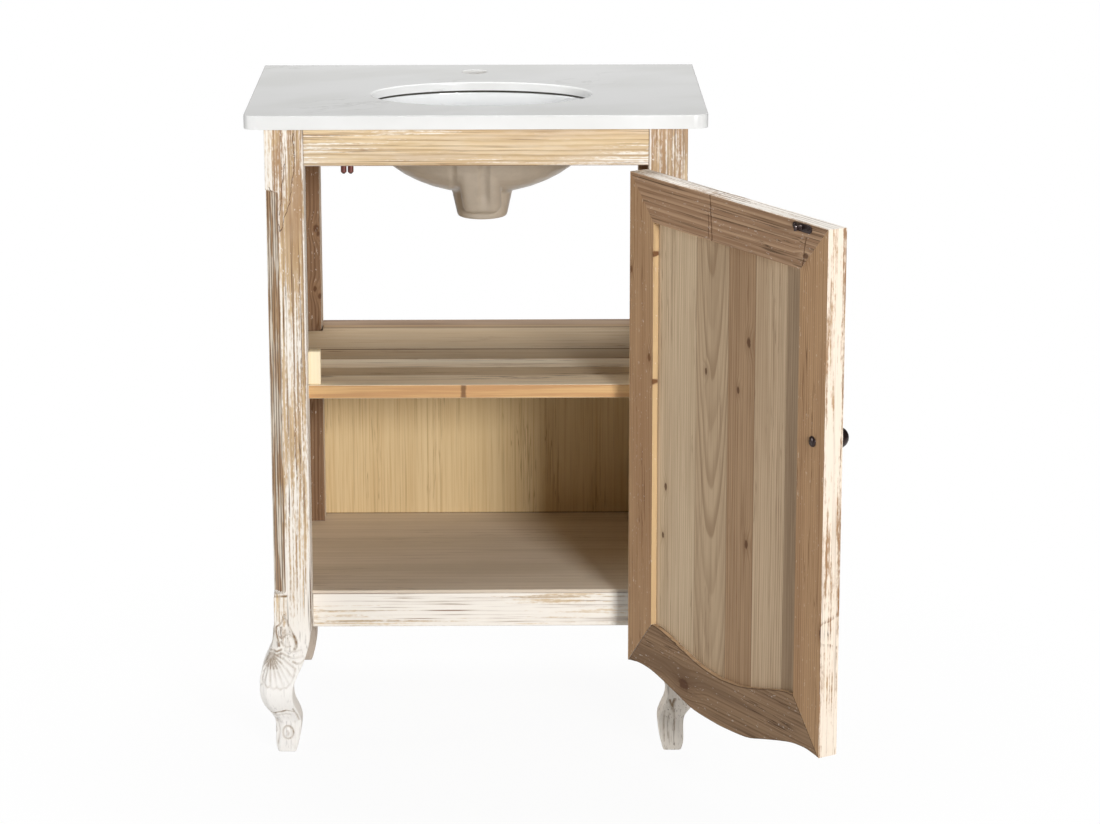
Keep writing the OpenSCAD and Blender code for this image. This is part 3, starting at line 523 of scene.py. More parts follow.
@dataclass(frozen=True)
class Wood:
    """A pine board: its rings, its colours, and how much lime wash is left on it.

    ring is the width of a growth ring. The place of the pith is across the board and in its depth; far
    in depth gives straight lines. slope is how fast the pith leaves the board's length, and warp how far
    the rings waver. bare is the direction of faces that were never limed above the place bare_from, and
    reveal that of the edge round the opening, which was not limed behind the depth inner_from.
    contrast, fibre, lime, cracks, flecks, veil, lines, worn_arris and stained_arris are strengths, with
    0 for none. corner_shade_below is the height up to which painted shade darkens the board, in its
    corner with the board below, with less than 0 for none.
    """

    name: str
    grain: Grain
    early: Colour
    late: Colour
    stain: Colour
    ring: float = 4.2 * MM
    pith: tuple[float, float] = (0.0, 0.05)
    slope: float = 0.03
    warp: float = 9 * MM
    contrast: float = 0.75
    fibre: float = 0.35
    lime: float = 0.0
    lime_colour: Colour = paint(248, 242, 233)
    bare: Place | None = None
    bare_from: float = -1.0
    bare_fade: float = 10 * MM
    reveal: Place | None = None
    inner_from: float = -0.012
    reveal_colour: Colour = paint(232, 206, 158)
    cracks: float = 0.5
    flecks: float = 0.0
    veil: float = 0.0
    lines: float = 0.0
    corner_shade_below: float = -1.0
    worn_arris: float = 0.0
    stained_arris: float = 0.0
    crack_colour: Colour = paint(112, 80, 54)
    knots: tuple[Knot, ...] = ()
    splits: tuple[Split, ...] = ()
    knot_colour: Colour = paint(88, 58, 38)
    rough: float = 0.72
    specular: float = 0.25
    relief: float = 0.35
    relief_height: float = 0.4 * MM
    seed: float = 0.0
    setting: Setting = Setting.STAND

    def place(self, g: Graph) -> bpy.types.NodeSocket:
        """Gives the place in the stand, with the door's boards turned back to the closed door.

        Args:
            g: The material's nodes.

        Returns:
            The socket with the place.
        """
        place = g.add("ShaderNodeTexCoord").outputs["Object"]
        if self.setting is Setting.STAND:
            return place
        turned = Matrix.Rotation(-OPEN_ANGLE, 3, "Z") @ HINGE_PIN
        mapping = g.add("ShaderNodeMapping", {
            "Vector": place, "Location": tuple(HINGE_PIN - turned),
            "Rotation": (0.0, 0.0, -OPEN_ANGLE)}, vector_type="POINT")
        return mapping.outputs[0]

    def board(self, g: Graph, place: bpy.types.NodeSocket) -> bpy.types.NodeSocket:
        """Gives the place in the board: along the fibres, across them, and in depth.

        Args:
            g: The material's nodes.
            place: The place in the stand.

        Returns:
            The socket with the place in the board.
        """
        parts = g.add("ShaderNodeSeparateXYZ", {0: place}).outputs
        along, across, depth = (parts[axis] for axis in self.grain.value)
        return g.add("ShaderNodeCombineXYZ", {"X": along, "Y": across, "Z": depth}).outputs[0]

    def facing(self, g: Graph, direction: Place, low: float = 0.82, high: float = 0.93
               ) -> bpy.types.NodeSocket:
        """Gives 1 on faces that point in a direction, and 0 on the others."""
        normal = g.add("ShaderNodeTexCoord").outputs["Normal"]
        return g.step(g.vector("DOT_PRODUCT", normal, direction), low, high)

    def part(self, g: Graph, board: bpy.types.NodeSocket, name: str) -> bpy.types.NodeSocket:
        """Gives one coordinate in the board: "X" along it, "Y" across it, "Z" in its depth."""
        return g.add("ShaderNodeSeparateXYZ", {0: board}).outputs[name]

    def on_reveal(self, g: Graph, board: bpy.types.NodeSocket) -> bpy.types.NodeSocket:
        """Gives 1 on the part of the edge round the opening that was not limed."""
        behind = g.step(self.part(g, board, "Z"), self.inner_from - MM, self.inner_from + MM)
        return g.math("MULTIPLY", self.facing(g, self.reveal), behind)

    def never_limed(self, g: Graph, board: bpy.types.NodeSocket) -> Value:
        """Finds the faces of the board that were never limed.

        Args:
            g: The material's nodes.
            board: The place in the board.

        Returns:
            1 where the board was never limed, and 0 elsewhere.
        """
        mask: Value = 0.0
        if self.bare is not None:
            above = g.step(self.part(g, board, "X"), self.bare_from, self.bare_from + self.bare_fade)
            mask = g.math("MULTIPLY", self.facing(g, self.bare, 0.3, 0.45), above)
        if self.reveal is not None:
            mask = g.math("MAXIMUM", mask, self.on_reveal(g, board))
        return mask

    def tone(self, g: Graph, board: bpy.types.NodeSocket, colour: bpy.types.NodeSocket
             ) -> bpy.types.NodeSocket:
        """Changes the bare wood's colour over the board; plain boards leave it."""
        return colour

    def cover(self, g: Graph, board: bpy.types.NodeSocket) -> Value:
        """Gives how much of the lime wash is left; plain boards have the same all over."""
        return self.lime

    def last_touch(self, g: Graph, board: bpy.types.NodeSocket, colour: bpy.types.NodeSocket
                   ) -> bpy.types.NodeSocket:
        """Changes the limed colour; plain boards leave it."""
        return colour

    def knotted(self, g: Graph, groups: WoodGroups, board: bpy.types.NodeSocket
                ) -> tuple[Value, Value, Value]:
        """Lays the rings round the pith and bends them round the knots.

        Args:
            g: The material's nodes.
            groups: The effects that the woods share.
            board: The place in the board.

        Returns:
            The distance from the pith, the knots' cores, and the darker wood round them.
        """
        distance = g.group(groups.pith, {
            "Vector": board, "Pith": (0.0, *self.pith), "Slope": self.slope, "Warp": self.warp,
            "Seed": self.seed}).outputs["Distance"]
        core: Value = 0.0
        halo: Value = 0.0
        for knot in self.knots:
            marked = g.group(groups.knot, {
                "Vector": board, "Centre": (knot.along, knot.across, knot.depth), "Size": knot.size,
                "Distance": distance, "Core": core, "Halo": halo}).outputs
            distance, core, halo = marked["Distance"], marked["Core"], marked["Halo"]
        return distance, core, halo

    def fresh_wood(self, g: Graph, board: bpy.types.NodeSocket, rings: Sockets, core: Value, halo: Value
                   ) -> bpy.types.NodeSocket:
        """Colours the board as it was sawn.

        Args:
            g: The material's nodes.
            board: The place in the board.
            rings: The rings, fibres and patches.
            core: The knots' cores.
            halo: The darker wood round the knots.

        Returns:
            The socket with the colour.
        """
        patch = g.math("MULTIPLY", g.step(rings["Patch"], 0.42, 0.66), PATCH_SHARE)
        colour = g.mix(patch, self.early, self.stain)
        colour = g.mix(g.math("MULTIPLY", rings["Late"], self.contrast), colour, self.late)
        fibre = g.math("MULTIPLY", g.step(rings["Fibre"], 0.47, 0.72), self.fibre)
        colour = g.mix(fibre, colour, self.late)
        colour = self.tone(g, board, colour)
        if self.knots:
            colour = g.mix(g.math("MULTIPLY", halo, HALO_SHARE), colour, self.late)
            colour = g.mix(g.math("MULTIPLY", core, CORE_SHARE), colour, self.knot_colour)
        if self.reveal is not None:
            clear = g.math("MULTIPLY", self.on_reveal(g, board), g.math("SUBTRACT", 1.0, core))
            pale = g.mix(g.math("MULTIPLY", rings["Late"], 0.4), self.reveal_colour, self.early)
            colour = g.mix(clear, colour, pale)
        return colour

    def split_mask(self, g: Graph, groups: WoodGroups, board: bpy.types.NodeSocket) -> Value:
        """Draws the board's splits.

        Args:
            g: The material's nodes.
            groups: The effects that the woods share.
            board: The place in the board.

        Returns:
            1 in the splits, and 0 elsewhere.
        """
        mask: Value = 0.0
        for split in self.splits:
            run = (split.end[0] - split.start[0], split.end[1] - split.start[1], 0.0)
            mask = g.group(groups.scar, {
                "Vector": board, "Start": (*split.start, 0.0), "Run": run, "Width": split.width,
                "Mask": mask}).outputs["Mask"]
        return mask

    def worn_wood(self, g: Graph, groups: WoodGroups, board: bpy.types.NodeSocket, rings: Sockets,
                  colour: bpy.types.NodeSocket) -> bpy.types.NodeSocket:
        """Adds cracks, lime wash, worn arrises, painted shade in a low corner, and splits to the sawn board.

        Args:
            g: The material's nodes.
            groups: The effects that the woods share.
            board: The place in the board.
            rings: The rings, fibres and patches.
            colour: The sawn board's colour.

        Returns:
            The socket with the colour.
        """
        age = g.group(groups.age, {"Vector": board, "Seed": self.seed + AGE_SEED}).outputs
        arris = g.add("ShaderNodeAttribute", attribute_name="arris").outputs["Fac"]
        bare = self.never_limed(g, board)
        colour = g.mix(g.math("MULTIPLY", age["Crack"], self.cracks), colour, self.crack_colour)
        if self.veil > 0:
            colour = g.mix(g.math("MULTIPLY", age["Veil"], self.veil), colour, self.lime_colour)
        if self.lime > 0:
            mask = g.group(groups.lime, {
                "Vector": board, "Cover": self.cover(g, board), "Late": rings["Late"], "Arris": arris,
                "Seed": self.seed + LIME_SEED}).outputs["Mask"]
            mask = g.math("MULTIPLY", mask, g.math("SUBTRACT", 1.0, bare))
            colour = g.mix(g.math("MULTIPLY", mask, LIME_SHARE), colour, self.lime_colour)
        if self.lines > 0:
            colour = g.mix(g.math("MULTIPLY", age["Line"], self.lines), colour, self.crack_colour)
        # Painted shade in the corner: the board is darkened up to the height where it meets the board below,
        # fading over 2 mm.
        if self.corner_shade_below > 0:
            low = g.step(self.part(g, board, "X"), self.corner_shade_below, self.corner_shade_below + 2 * MM, falling=True)
            colour = g.mix(g.math("MULTIPLY", low, CORNER_SHADE_SHARE), colour, self.knot_colour)
        if self.worn_arris > 0:
            edges = g.math("MULTIPLY", g.math("MULTIPLY", arris, bare), self.worn_arris)
            colour = g.mix(edges, colour, self.crack_colour)
        if self.stained_arris > 0:
            patches = g.math("MULTIPLY", g.step(rings["Patch"], 0.3, 0.6), self.stained_arris)
            colour = g.mix(g.math("MULTIPLY", arris, patches), colour, self.crack_colour)
        if self.splits:
            split = self.split_mask(g, groups, board)
            colour = g.mix(g.math("MULTIPLY", split, SPLIT_SHARE), colour, self.knot_colour)
        if self.flecks > 0:
            colour = g.mix(g.math("MULTIPLY", age["Fleck"], self.flecks), colour, self.lime_colour)
        return colour

    def build(self, groups: WoodGroups) -> bpy.types.Material:
        """Builds the material.

        Args:
            groups: The effects that the woods share.

        Returns:
            The material.
        """
        material = bpy.data.materials.new(self.name)
        material.use_nodes = True
        g = Graph(material.node_tree)
        board = self.board(g, self.place(g))
        distance, core, halo = self.knotted(g, groups, board)
        rings = g.group(groups.rings, {
            "Vector": board, "Distance": distance, "Spacing": self.ring, "Seed": self.seed}).outputs
        colour = self.fresh_wood(g, board, rings, core, halo)
        colour = self.worn_wood(g, groups, board, rings, colour)
        colour = self.last_touch(g, board, colour)
        bump = g.add("ShaderNodeBump", {
            "Height": rings["Height"], "Strength": self.relief, "Distance": self.relief_height})
        shader = material.node_tree.nodes["Principled BSDF"]
        g.put(shader.inputs["Base Color"], colour)
        g.put(shader.inputs["Normal"], bump.outputs[0])
        shader.inputs["Roughness"].default_value = self.rough
        shader.inputs["Specular IOR Level"].default_value = self.specular
        return material


@dataclass(frozen=True)
class Band:
    """One board of a glued-up shelf: the place where it starts, counted to the back, and its colour."""

    start: float
    colour: Colour


@dataclass(frozen=True)
class GluedShelf(Wood):
    """A shelf of several boards glued edge to edge, each with its own colour."""

    bands: tuple[Band, ...] = ()
    front: float = 0.0
    depth: float = 0.4
    edge_colour: Colour = paint(196, 150, 104)
    edge_light: Colour = paint(216, 176, 124)

    def tone(self, g: Graph, board: bpy.types.NodeSocket, colour: bpy.types.NodeSocket
             ) -> bpy.types.NodeSocket:
        """Tints each board of the shelf.

        Args:
            g: The material's nodes.
            board: The place in the shelf.
            colour: The wood's colour.

        Returns:
            The socket with the tinted colour.
        """
        share = g.math("DIVIDE", g.math("SUBTRACT", self.part(g, board, "Y"), self.front), self.depth)
        stops = [(max(band.start - self.front, 0.0) / self.depth, band.colour) for band in self.bands]
        return g.mix(1.0, colour, g.bands(share, stops), blend="MULTIPLY")

    def last_touch(self, g: Graph, board: bpy.types.NodeSocket, colour: bpy.types.NodeSocket
                   ) -> bpy.types.NodeSocket:
        """Gives the front edge its warmer, fresher cut.

        Args:
            g: The material's nodes.
            board: The place in the shelf.
            colour: The shelf's colour.

        Returns:
            The socket with the colour.
        """
        lines = g.noise(board, (5.0, 60.0, 260.0), self.seed + 1.0, 3.0, 0.6).outputs["Fac"]
        fresh = g.mix(g.step(lines, 0.4, 0.62), self.edge_colour, self.edge_light)
        knots: Value = 0.0
        for knot in self.knots:
            away = g.math("ABSOLUTE", g.math("SUBTRACT", self.part(g, board, "X"), knot.along))
            rough = g.noise(board, (90.0, 90.0, 160.0), self.seed, 3.0).outputs["Fac"]
            bent = g.math("ADD", away, g.math("MULTIPLY", rough, knot.size))
            knots = g.math("MAXIMUM", knots, g.step(bent, knot.size * 0.9, knot.size * 1.7, falling=True))
        fresh = g.mix(g.math("MULTIPLY", knots, 0.7), fresh, self.knot_colour)
        return g.mix(self.facing(g, FRONT), colour, fresh)


@dataclass(frozen=True)
class LimeZone:
    """The lower part of a leg that has more lime wash: up to low in full, and above high no more."""

    low: float
    high: float
    more: float


@dataclass(frozen=True)
class LimedLeg(Wood):
    """A leg's wood: browner at the top, whiter at the foot, with a reeded chamfer and carving."""

    brown: Colour = paint(172, 136, 100)
    shade: Colour = paint(104, 76, 52)
    # Tan colour of the painted shade in the carving's grooves.
    groove: Colour = paint(140, 112, 78)
    streak: Colour = paint(230, 219, 202)
    reed: float = 4.6 * MM
    wander: float = 2.5 * MM
    inner_arris: float = 1.0
    foot_white: Colour = paint(255, 253, 250)
    foot_wash: float = 0.75
    outer: Place = (-0.7071, -0.7071, 0.0)
    bare_tint: Colour = (1.0, 1.0, 1.0, 1.0)
    low_stop: float = 0.222
    high_stop: float = 0.772
    chamfered: bool = True
    brown_share: float = 0.85
    reed_share: float = 0.85
    facet_share: float = 0.9
    arris_lime: float = 0.3
    lime_zones: tuple[LimeZone, ...] = (
        LimeZone(0.56, 0.84, 0.18), LimeZone(0.18, 0.42, 0.16), LimeZone(0.15, 0.21, 0.32))

    def cover(self, g: Graph, board: bpy.types.NodeSocket) -> Value:
        """Leaves more lime wash towards the foot and on the inner arris, and nearly all on the foot.

        Args:
            g: The material's nodes.
            board: The place in the leg.

        Returns:
            How much lime wash is left.
        """
        along = self.part(g, board, "X")
        from_arris = g.math("ABSOLUTE", g.math("SUBTRACT", self.part(g, board, "Y"), self.inner_arris))
        left = g.math("MULTIPLY", g.step(from_arris, MM, 3 * MM, falling=True), self.arris_lime)
        for zone in self.lime_zones:
            more = g.math("MULTIPLY", g.step(along, zone.low, zone.high, falling=True), zone.more)
            left = g.math("ADD", left, more)
        return g.math("ADD", left, self.lime)

    def tone(self, g: Graph, board: bpy.types.NodeSocket, colour: bpy.types.NodeSocket
             ) -> bpy.types.NodeSocket:
        """Stains the leg's top in patches, and darkens the faces that were never limed.

        Args:
            g: The material's nodes.
            board: The place in the leg.
            colour: The wood's colour.

        Returns:
            The socket with the colour.
        """
        rubbed = g.noise(board, (9.0, 70.0, 70.0), self.seed + 7.9, 3.0, 0.6).outputs["Fac"]
        upper = g.step(self.part(g, board, "X"), 0.62, 0.78)
        stained = g.math("MULTIPLY", g.math("MULTIPLY", g.step(rubbed, 0.40, 0.54), upper), self.brown_share)
        colour = g.mix(stained, colour, self.brown)
        darker = g.mix(1.0, colour, self.bare_tint, blend="MULTIPLY")
        return g.mix(self.never_limed(g, board), colour, darker)

    def reeds(self, g: Graph, board: bpy.types.NodeSocket) -> bpy.types.NodeSocket:
        """Shades the upright reeds of the chamfer.

        Args:
            g: The material's nodes.
            board: The place in the leg.

        Returns:
            1 in the grooves between the reeds, and 0 on them.
        """
        across = g.math("MULTIPLY", self.part(g, board, "Y"), -self.outer[1])
        deep = g.math("MULTIPLY", self.part(g, board, "Z"), self.outer[0])
        waves = g.noise(board, (5.0, 40.0, 40.0), self.seed, 2.0).outputs["Fac"]
        place = g.math("ADD", g.math("ADD", across, deep), g.math("MULTIPLY", waves, self.wander))
        share = g.math("FRACT", g.math("DIVIDE", place, self.reed))
        middle = g.math("ABSOLUTE", g.math("SUBTRACT", share, 0.5))
        return g.step(middle, 0.12, 0.4, falling=True)

    def last_touch(self, g: Graph, board: bpy.types.NodeSocket, colour: bpy.types.NodeSocket
                   ) -> bpy.types.NodeSocket:
        """Whitens the foot, paints shade into the carving's grooves and between the chamfer's reeds, and
        colours the chamfer.

        Args:
            g: The material's nodes.
            board: The place in the leg.
            colour: The limed colour.

        Returns:
            The socket with the colour.
        """
        carve = g.add("ShaderNodeAttribute", attribute_name="carve").outputs["Fac"]
        worn = g.noise(board, (60.0, 60.0, 60.0), self.seed, 3.0, 0.6).outputs["Fac"]
        strength = g.math("ADD", g.math("MULTIPLY", g.step(worn, 0.35, 0.6), 0.8), 0.4)
        on_foot = g.math("MULTIPLY", g.step(self.part(g, board, "X"), 0.1, 0.2, falling=True), self.foot_wash)
        colour = g.mix(on_foot, colour, self.foot_white)
        # Painted shade, tan, in the carving's grooves, as stored in the attribute carve.
        colour = g.mix(g.math("MULTIPLY", carve, strength, clamp=True), colour, self.groove)
        if not self.chamfered:
            return colour
        along = self.part(g, board, "X")
        above = g.step(along, self.low_stop - 4 * MM, self.low_stop - MM)
        below = g.step(along, self.high_stop - 2 * MM, self.high_stop, falling=True)
        facet = g.math("MULTIPLY", self.facing(g, self.outer), g.math("MULTIPLY", above, below))
        streaks = g.noise(board, (11.0, 190.0, 190.0), self.seed + 3.1, 3.0, 0.6).outputs["Fac"]
        streaked = g.mix(g.step(streaks, 0.47, 0.56), self.brown, self.streak)
        broken = g.noise(board, (16.0, 150.0, 150.0), self.seed + 5.7, 3.0, 0.6).outputs["Fac"]
        reeds = g.math("MULTIPLY", self.reeds(g, board), g.step(broken, 0.30, 0.52))
        # Painted shade between the chamfer's reeds, which the mesh does not have.
        reeded = g.mix(g.math("MULTIPLY", reeds, self.reed_share), streaked, self.shade)
        return g.mix(g.math("MULTIPLY", facet, self.facet_share), colour, reeded)


@dataclass(frozen=True)
class Marble:
    """Polished pale marble with faint grey veins."""

    name: str = "pale_marble"
    ground: Colour = paint(235, 235, 233)
    vein: Colour = paint(212, 212, 209)
    cloud: Colour = paint(242, 242, 241)
    # This colour paints the dark line at the foot of the cut-out's wall, partly the joint and partly painted
    # shade of its gap, and the painted shade on that wall.
    joint_and_shade: Colour = paint(62, 60, 54)
    dark_line_top: float = 0.8
    dark_line_fade: float = 0.7 * MM
    cut_out: Place = (0.0, 0.0, 0.0)
    cut_out_reach: float = 0.1
    cut_out_shape: Place = (0.7, 1.0, 0.0)
    wall_shade: float = 0.12
    vein_turn: float = math.radians(-28)
    vein_strength: float = 0.55
    rough: float = 0.22
    specular: float = 0.4

    def build(self) -> bpy.types.Material:
        """Builds the material, with a dark line at the foot of the cut-out's wall, partly the joint and
        partly painted shade of its gap, and painted shade on that wall.

        Returns:
            The material.
        """
        material = bpy.data.materials.new(self.name)
        material.use_nodes = True
        g = Graph(material.node_tree)
        place = g.add("ShaderNodeTexCoord").outputs["Object"]
        turned = g.add("ShaderNodeMapping", {"Vector": place, "Rotation": (0.0, 0.0, self.vein_turn)}
                       ).outputs[0]
        waves = g.noise(turned, (3.0, 5.0, 5.0), 2.4, 4.0, 0.6).outputs["Color"]
        centred = g.vector("SUBTRACT", waves, NOISE_MIDDLE)
        bent = g.vector("ADD", turned, g.vector("MULTIPLY", centred, (0.18, 0.18, 0.18)))
        veins = g.noise(bent, (3.5, 16.0, 16.0), 5.5, 5.0, 0.6).outputs["Fac"]
        off_line = g.math("ABSOLUTE", g.math("SUBTRACT", veins, 0.5))
        line = g.step(off_line, 0.0, 0.022, falling=True)
        fade = g.step(g.noise(turned, (4.0, 7.0, 7.0), 9.1, 2.0).outputs["Fac"], 0.5, 0.68)
        clouds = g.noise(turned, (5.0, 9.0, 9.0), 1.7, 3.0).outputs["Fac"]
        colour = g.mix(g.step(clouds, 0.35, 0.65), self.ground, self.cloud)
        normal = g.add("ShaderNodeTexCoord").outputs["Normal"]
        level = g.add("ShaderNodeSeparateXYZ", {0: normal}).outputs["Z"]
        on_top = g.math("MULTIPLY", g.step(level, 0.5, 0.9), self.vein_strength)
        colour = g.mix(g.math("MULTIPLY", g.math("MULTIPLY", line, fade), on_top), colour, self.vein)
        # Dark line at the foot of the cut-out's wall: partly the joint, partly painted shade of the gap under
        # the slab.
        height = g.add("ShaderNodeSeparateXYZ", {0: place}).outputs["Z"]
        low = g.step(height, self.dark_line_top - self.dark_line_fade, self.dark_line_top, falling=True)
        from_cut_out = g.vector("SUBTRACT", place, self.cut_out)
        away = g.vector("LENGTH", g.vector("MULTIPLY", from_cut_out, self.cut_out_shape))
        near = g.step(away, self.cut_out_reach, self.cut_out_reach + MM, falling=True)
        colour = g.mix(g.math("MULTIPLY", low, near), colour, self.joint_and_shade)
        # Painted shade: the cut-out's upright wall is darkened a little towards the dark line's colour.
        wall = g.math("MULTIPLY", g.step(level, 0.1, 0.5, falling=True), near)
        colour = g.mix(g.math("MULTIPLY", wall, self.wall_shade), colour, self.joint_and_shade)
        shader = material.node_tree.nodes["Principled BSDF"]
        g.put(shader.inputs["Base Color"], colour)
        shader.inputs["Roughness"].default_value = self.rough
        shader.inputs["Specular IOR Level"].default_value = self.specular
        return material


@dataclass(frozen=True)
class Plain:
    """A finish of one colour, such as glaze, clay, sealant or painted metal."""

    name: str
    colour: Colour
    rough: float
    metallic: float = 0.0
    coat: float = 0.0
    speckle: float = 0.0
    # Height above which the glaze is darkened as painted shade, and the colour of that shade.
    rim_shade_from: float = 0.0
    rim_shade: Colour = paint(84, 82, 76)

    def build(self) -> bpy.types.Material:
        """Builds the material, uneven where it has a speckle, and darkened near its top by painted shade
        where a height for it is set.

        Returns:
            The material.
        """
        material = bpy.data.materials.new(self.name)
        material.use_nodes = True
        g = Graph(material.node_tree)
        shader = material.node_tree.nodes["Principled BSDF"]
        shader.inputs["Base Color"].default_value = self.colour
        shader.inputs["Roughness"].default_value = self.rough
        shader.inputs["Metallic"].default_value = self.metallic
        shader.inputs["Coat Weight"].default_value = self.coat
        if self.speckle > 0:
            place = g.add("ShaderNodeTexCoord").outputs["Object"]
            spots = g.noise(place, (60.0, 60.0, 60.0), 0.0, 4.0, 0.7).outputs["Fac"]
            darker = tuple(level * (1 - self.speckle) for level in self.colour[:3]) + (1.0,)
            g.put(shader.inputs["Base Color"], g.mix(g.step(spots, 0.35, 0.7), self.colour, darker))
        # Painted shade: the glaze is darkened from just under the basin's rim up to where it meets the slab.
        if self.rim_shade_from > 0:
            place = g.add("ShaderNodeTexCoord").outputs["Object"]
            height = g.add("ShaderNodeSeparateXYZ", {0: place}).outputs["Z"]
            near_top = g.step(height, self.rim_shade_from, self.rim_shade_from + MM)
            g.put(shader.inputs["Base Color"], g.mix(near_top, self.colour, self.rim_shade))
        return material


# ---- Solids as a start for the pieces ----


def solid_copy(node: str) -> bmesh.types.BMesh:
    """Copies a solid's mesh, with its doubles merged and its flat faces whole.

    Args:
        node: The solid's name.

    Returns:
        The copy.
    """
    bm = bmesh.new()
    bm.from_mesh(frame["nodes"][node].data)
    bmesh.ops.remove_doubles(bm, verts=bm.verts, dist=WELD)
    bmesh.ops.dissolve_limit(bm, angle_limit=FLAT_ANGLE, verts=bm.verts, edges=bm.edges)
    return bm


def ease_edges(bm: bmesh.types.BMesh, edges: list[bmesh.types.BMEdge], width: float, segments: int) -> None:
    """Rounds edges and marks the new faces with the attribute arris.

    Args:
        bm: The mesh.
        edges: The edges to round.
        width: The width that is taken off each side.
        segments: How many faces the rounding has.
    """
    layer = bm.loops.layers.float.get("arris") or bm.loops.layers.float.new("arris")
    made = bmesh.ops.bevel(bm, geom=edges, offset=width, offset_type="OFFSET", segments=segments,
                           profile=0.5, affect="EDGES", clamp_overlap=True, material=-1)
    for face in made["faces"]:
        for loop in face.loops:
            loop[layer] = 1.0


def sharp_edges(bm: bmesh.types.BMesh, angle: float = SHARP_ANGLE) -> list[bmesh.types.BMEdge]:
    """Lists the edges whose faces meet at more than an angle."""
    return [edge for edge in bm.edges if edge.is_manifold and edge.calc_face_angle() > angle]


def to_object(bm: bmesh.types.BMesh, name: str, materials: list[bpy.types.Material]) -> bpy.types.Object:
    """Makes an object of a mesh, with flat faces flat and curved ones smooth.

    Args:
        bm: The mesh, which is freed.
        name: The object's name.
        materials: The materials in the order of their numbers.

    Returns:
        The object.
    """
    mesh = bpy.data.meshes.new(name)
    bm.to_mesh(mesh)
    bm.free()
    mesh.set_sharp_from_angle(angle=CREASE_ANGLE)
    for face in mesh.polygons:
        face.use_smooth = face.area < LARGE_FACE
    for material in materials:
        mesh.materials.append(material)
    piece = bpy.data.objects.new(name, mesh)
    bpy.context.scene.collection.objects.link(piece)
    return piece


def stand_for(piece: bpy.types.Object, *nodes: str) -> bpy.types.Object:
    """Lets a piece take the place of solids and ride on their body.

    Args:
        piece: The piece.
        nodes: The solids' names.

    Returns:
        The piece.
    """
    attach(piece, BODY_OF[nodes[0]])
    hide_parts(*nodes)
    LOG.info("%s: %d faces, stands for %s", piece.name, len(piece.data.polygons), ", ".join(nodes))
    return piece


def eased_piece(node: str, material: bpy.types.Material, arris: float) -> bpy.types.Object:
    """Makes a piece of a solid with its edges eased.

    Args:
        node: The solid's name.
        material: Its finish.
        arris: How much is taken off each edge.

    Returns:
        The piece.
    """
    bm = solid_copy(node)
    ease_edges(bm, sharp_edges(bm), arris, EASED_SEGMENTS)
    return stand_for(to_object(bm, node + "_piece", [material]), node)


def remeshed(bm: bmesh.types.BMesh, voxel: float, rounds: int) -> bpy.types.Mesh:
    """Gives a mesh an even skin and smooths it.

    Args:
        bm: The mesh, which is freed.
        voxel: The size of the new faces.
        rounds: How many times the skin is smoothed.

    Returns:
        The new mesh.
    """
    mesh = bpy.data.meshes.new("rough")
    bm.to_mesh(mesh)
    bm.free()
    rough = bpy.data.objects.new("rough", mesh)
    bpy.context.scene.collection.objects.link(rough)
    skin = rough.modifiers.new("skin", "REMESH")
    skin.mode = "VOXEL"
    skin.voxel_size = voxel
    soft = rough.modifiers.new("soft", "SMOOTH")
    soft.factor = SMOOTH_SHARE
    soft.iterations = rounds
    dressed = rough.evaluated_get(bpy.context.evaluated_depsgraph_get())
    made = bpy.data.meshes.new_from_object(dressed)
    bpy.data.objects.remove(rough)
    bpy.data.meshes.remove(mesh)
    return made


def mesh_object(mesh: bpy.types.Mesh, name: str, materials: list[bpy.types.Material]) -> bpy.types.Object:
    """Makes a smooth object of a finished mesh.

    Args:
        mesh: The mesh.
        name: The object's name.
        materials: The materials in the order of their numbers.

    Returns:
        The object.
    """
    mesh.name = name
    mesh.materials.clear()
    for material in materials:
        mesh.materials.append(material)
    for face in mesh.polygons:
        face.use_smooth = True
    piece = bpy.data.objects.new(name, mesh)
    bpy.context.scene.collection.objects.link(piece)
    return piece


# ---- Marble top and basin ----


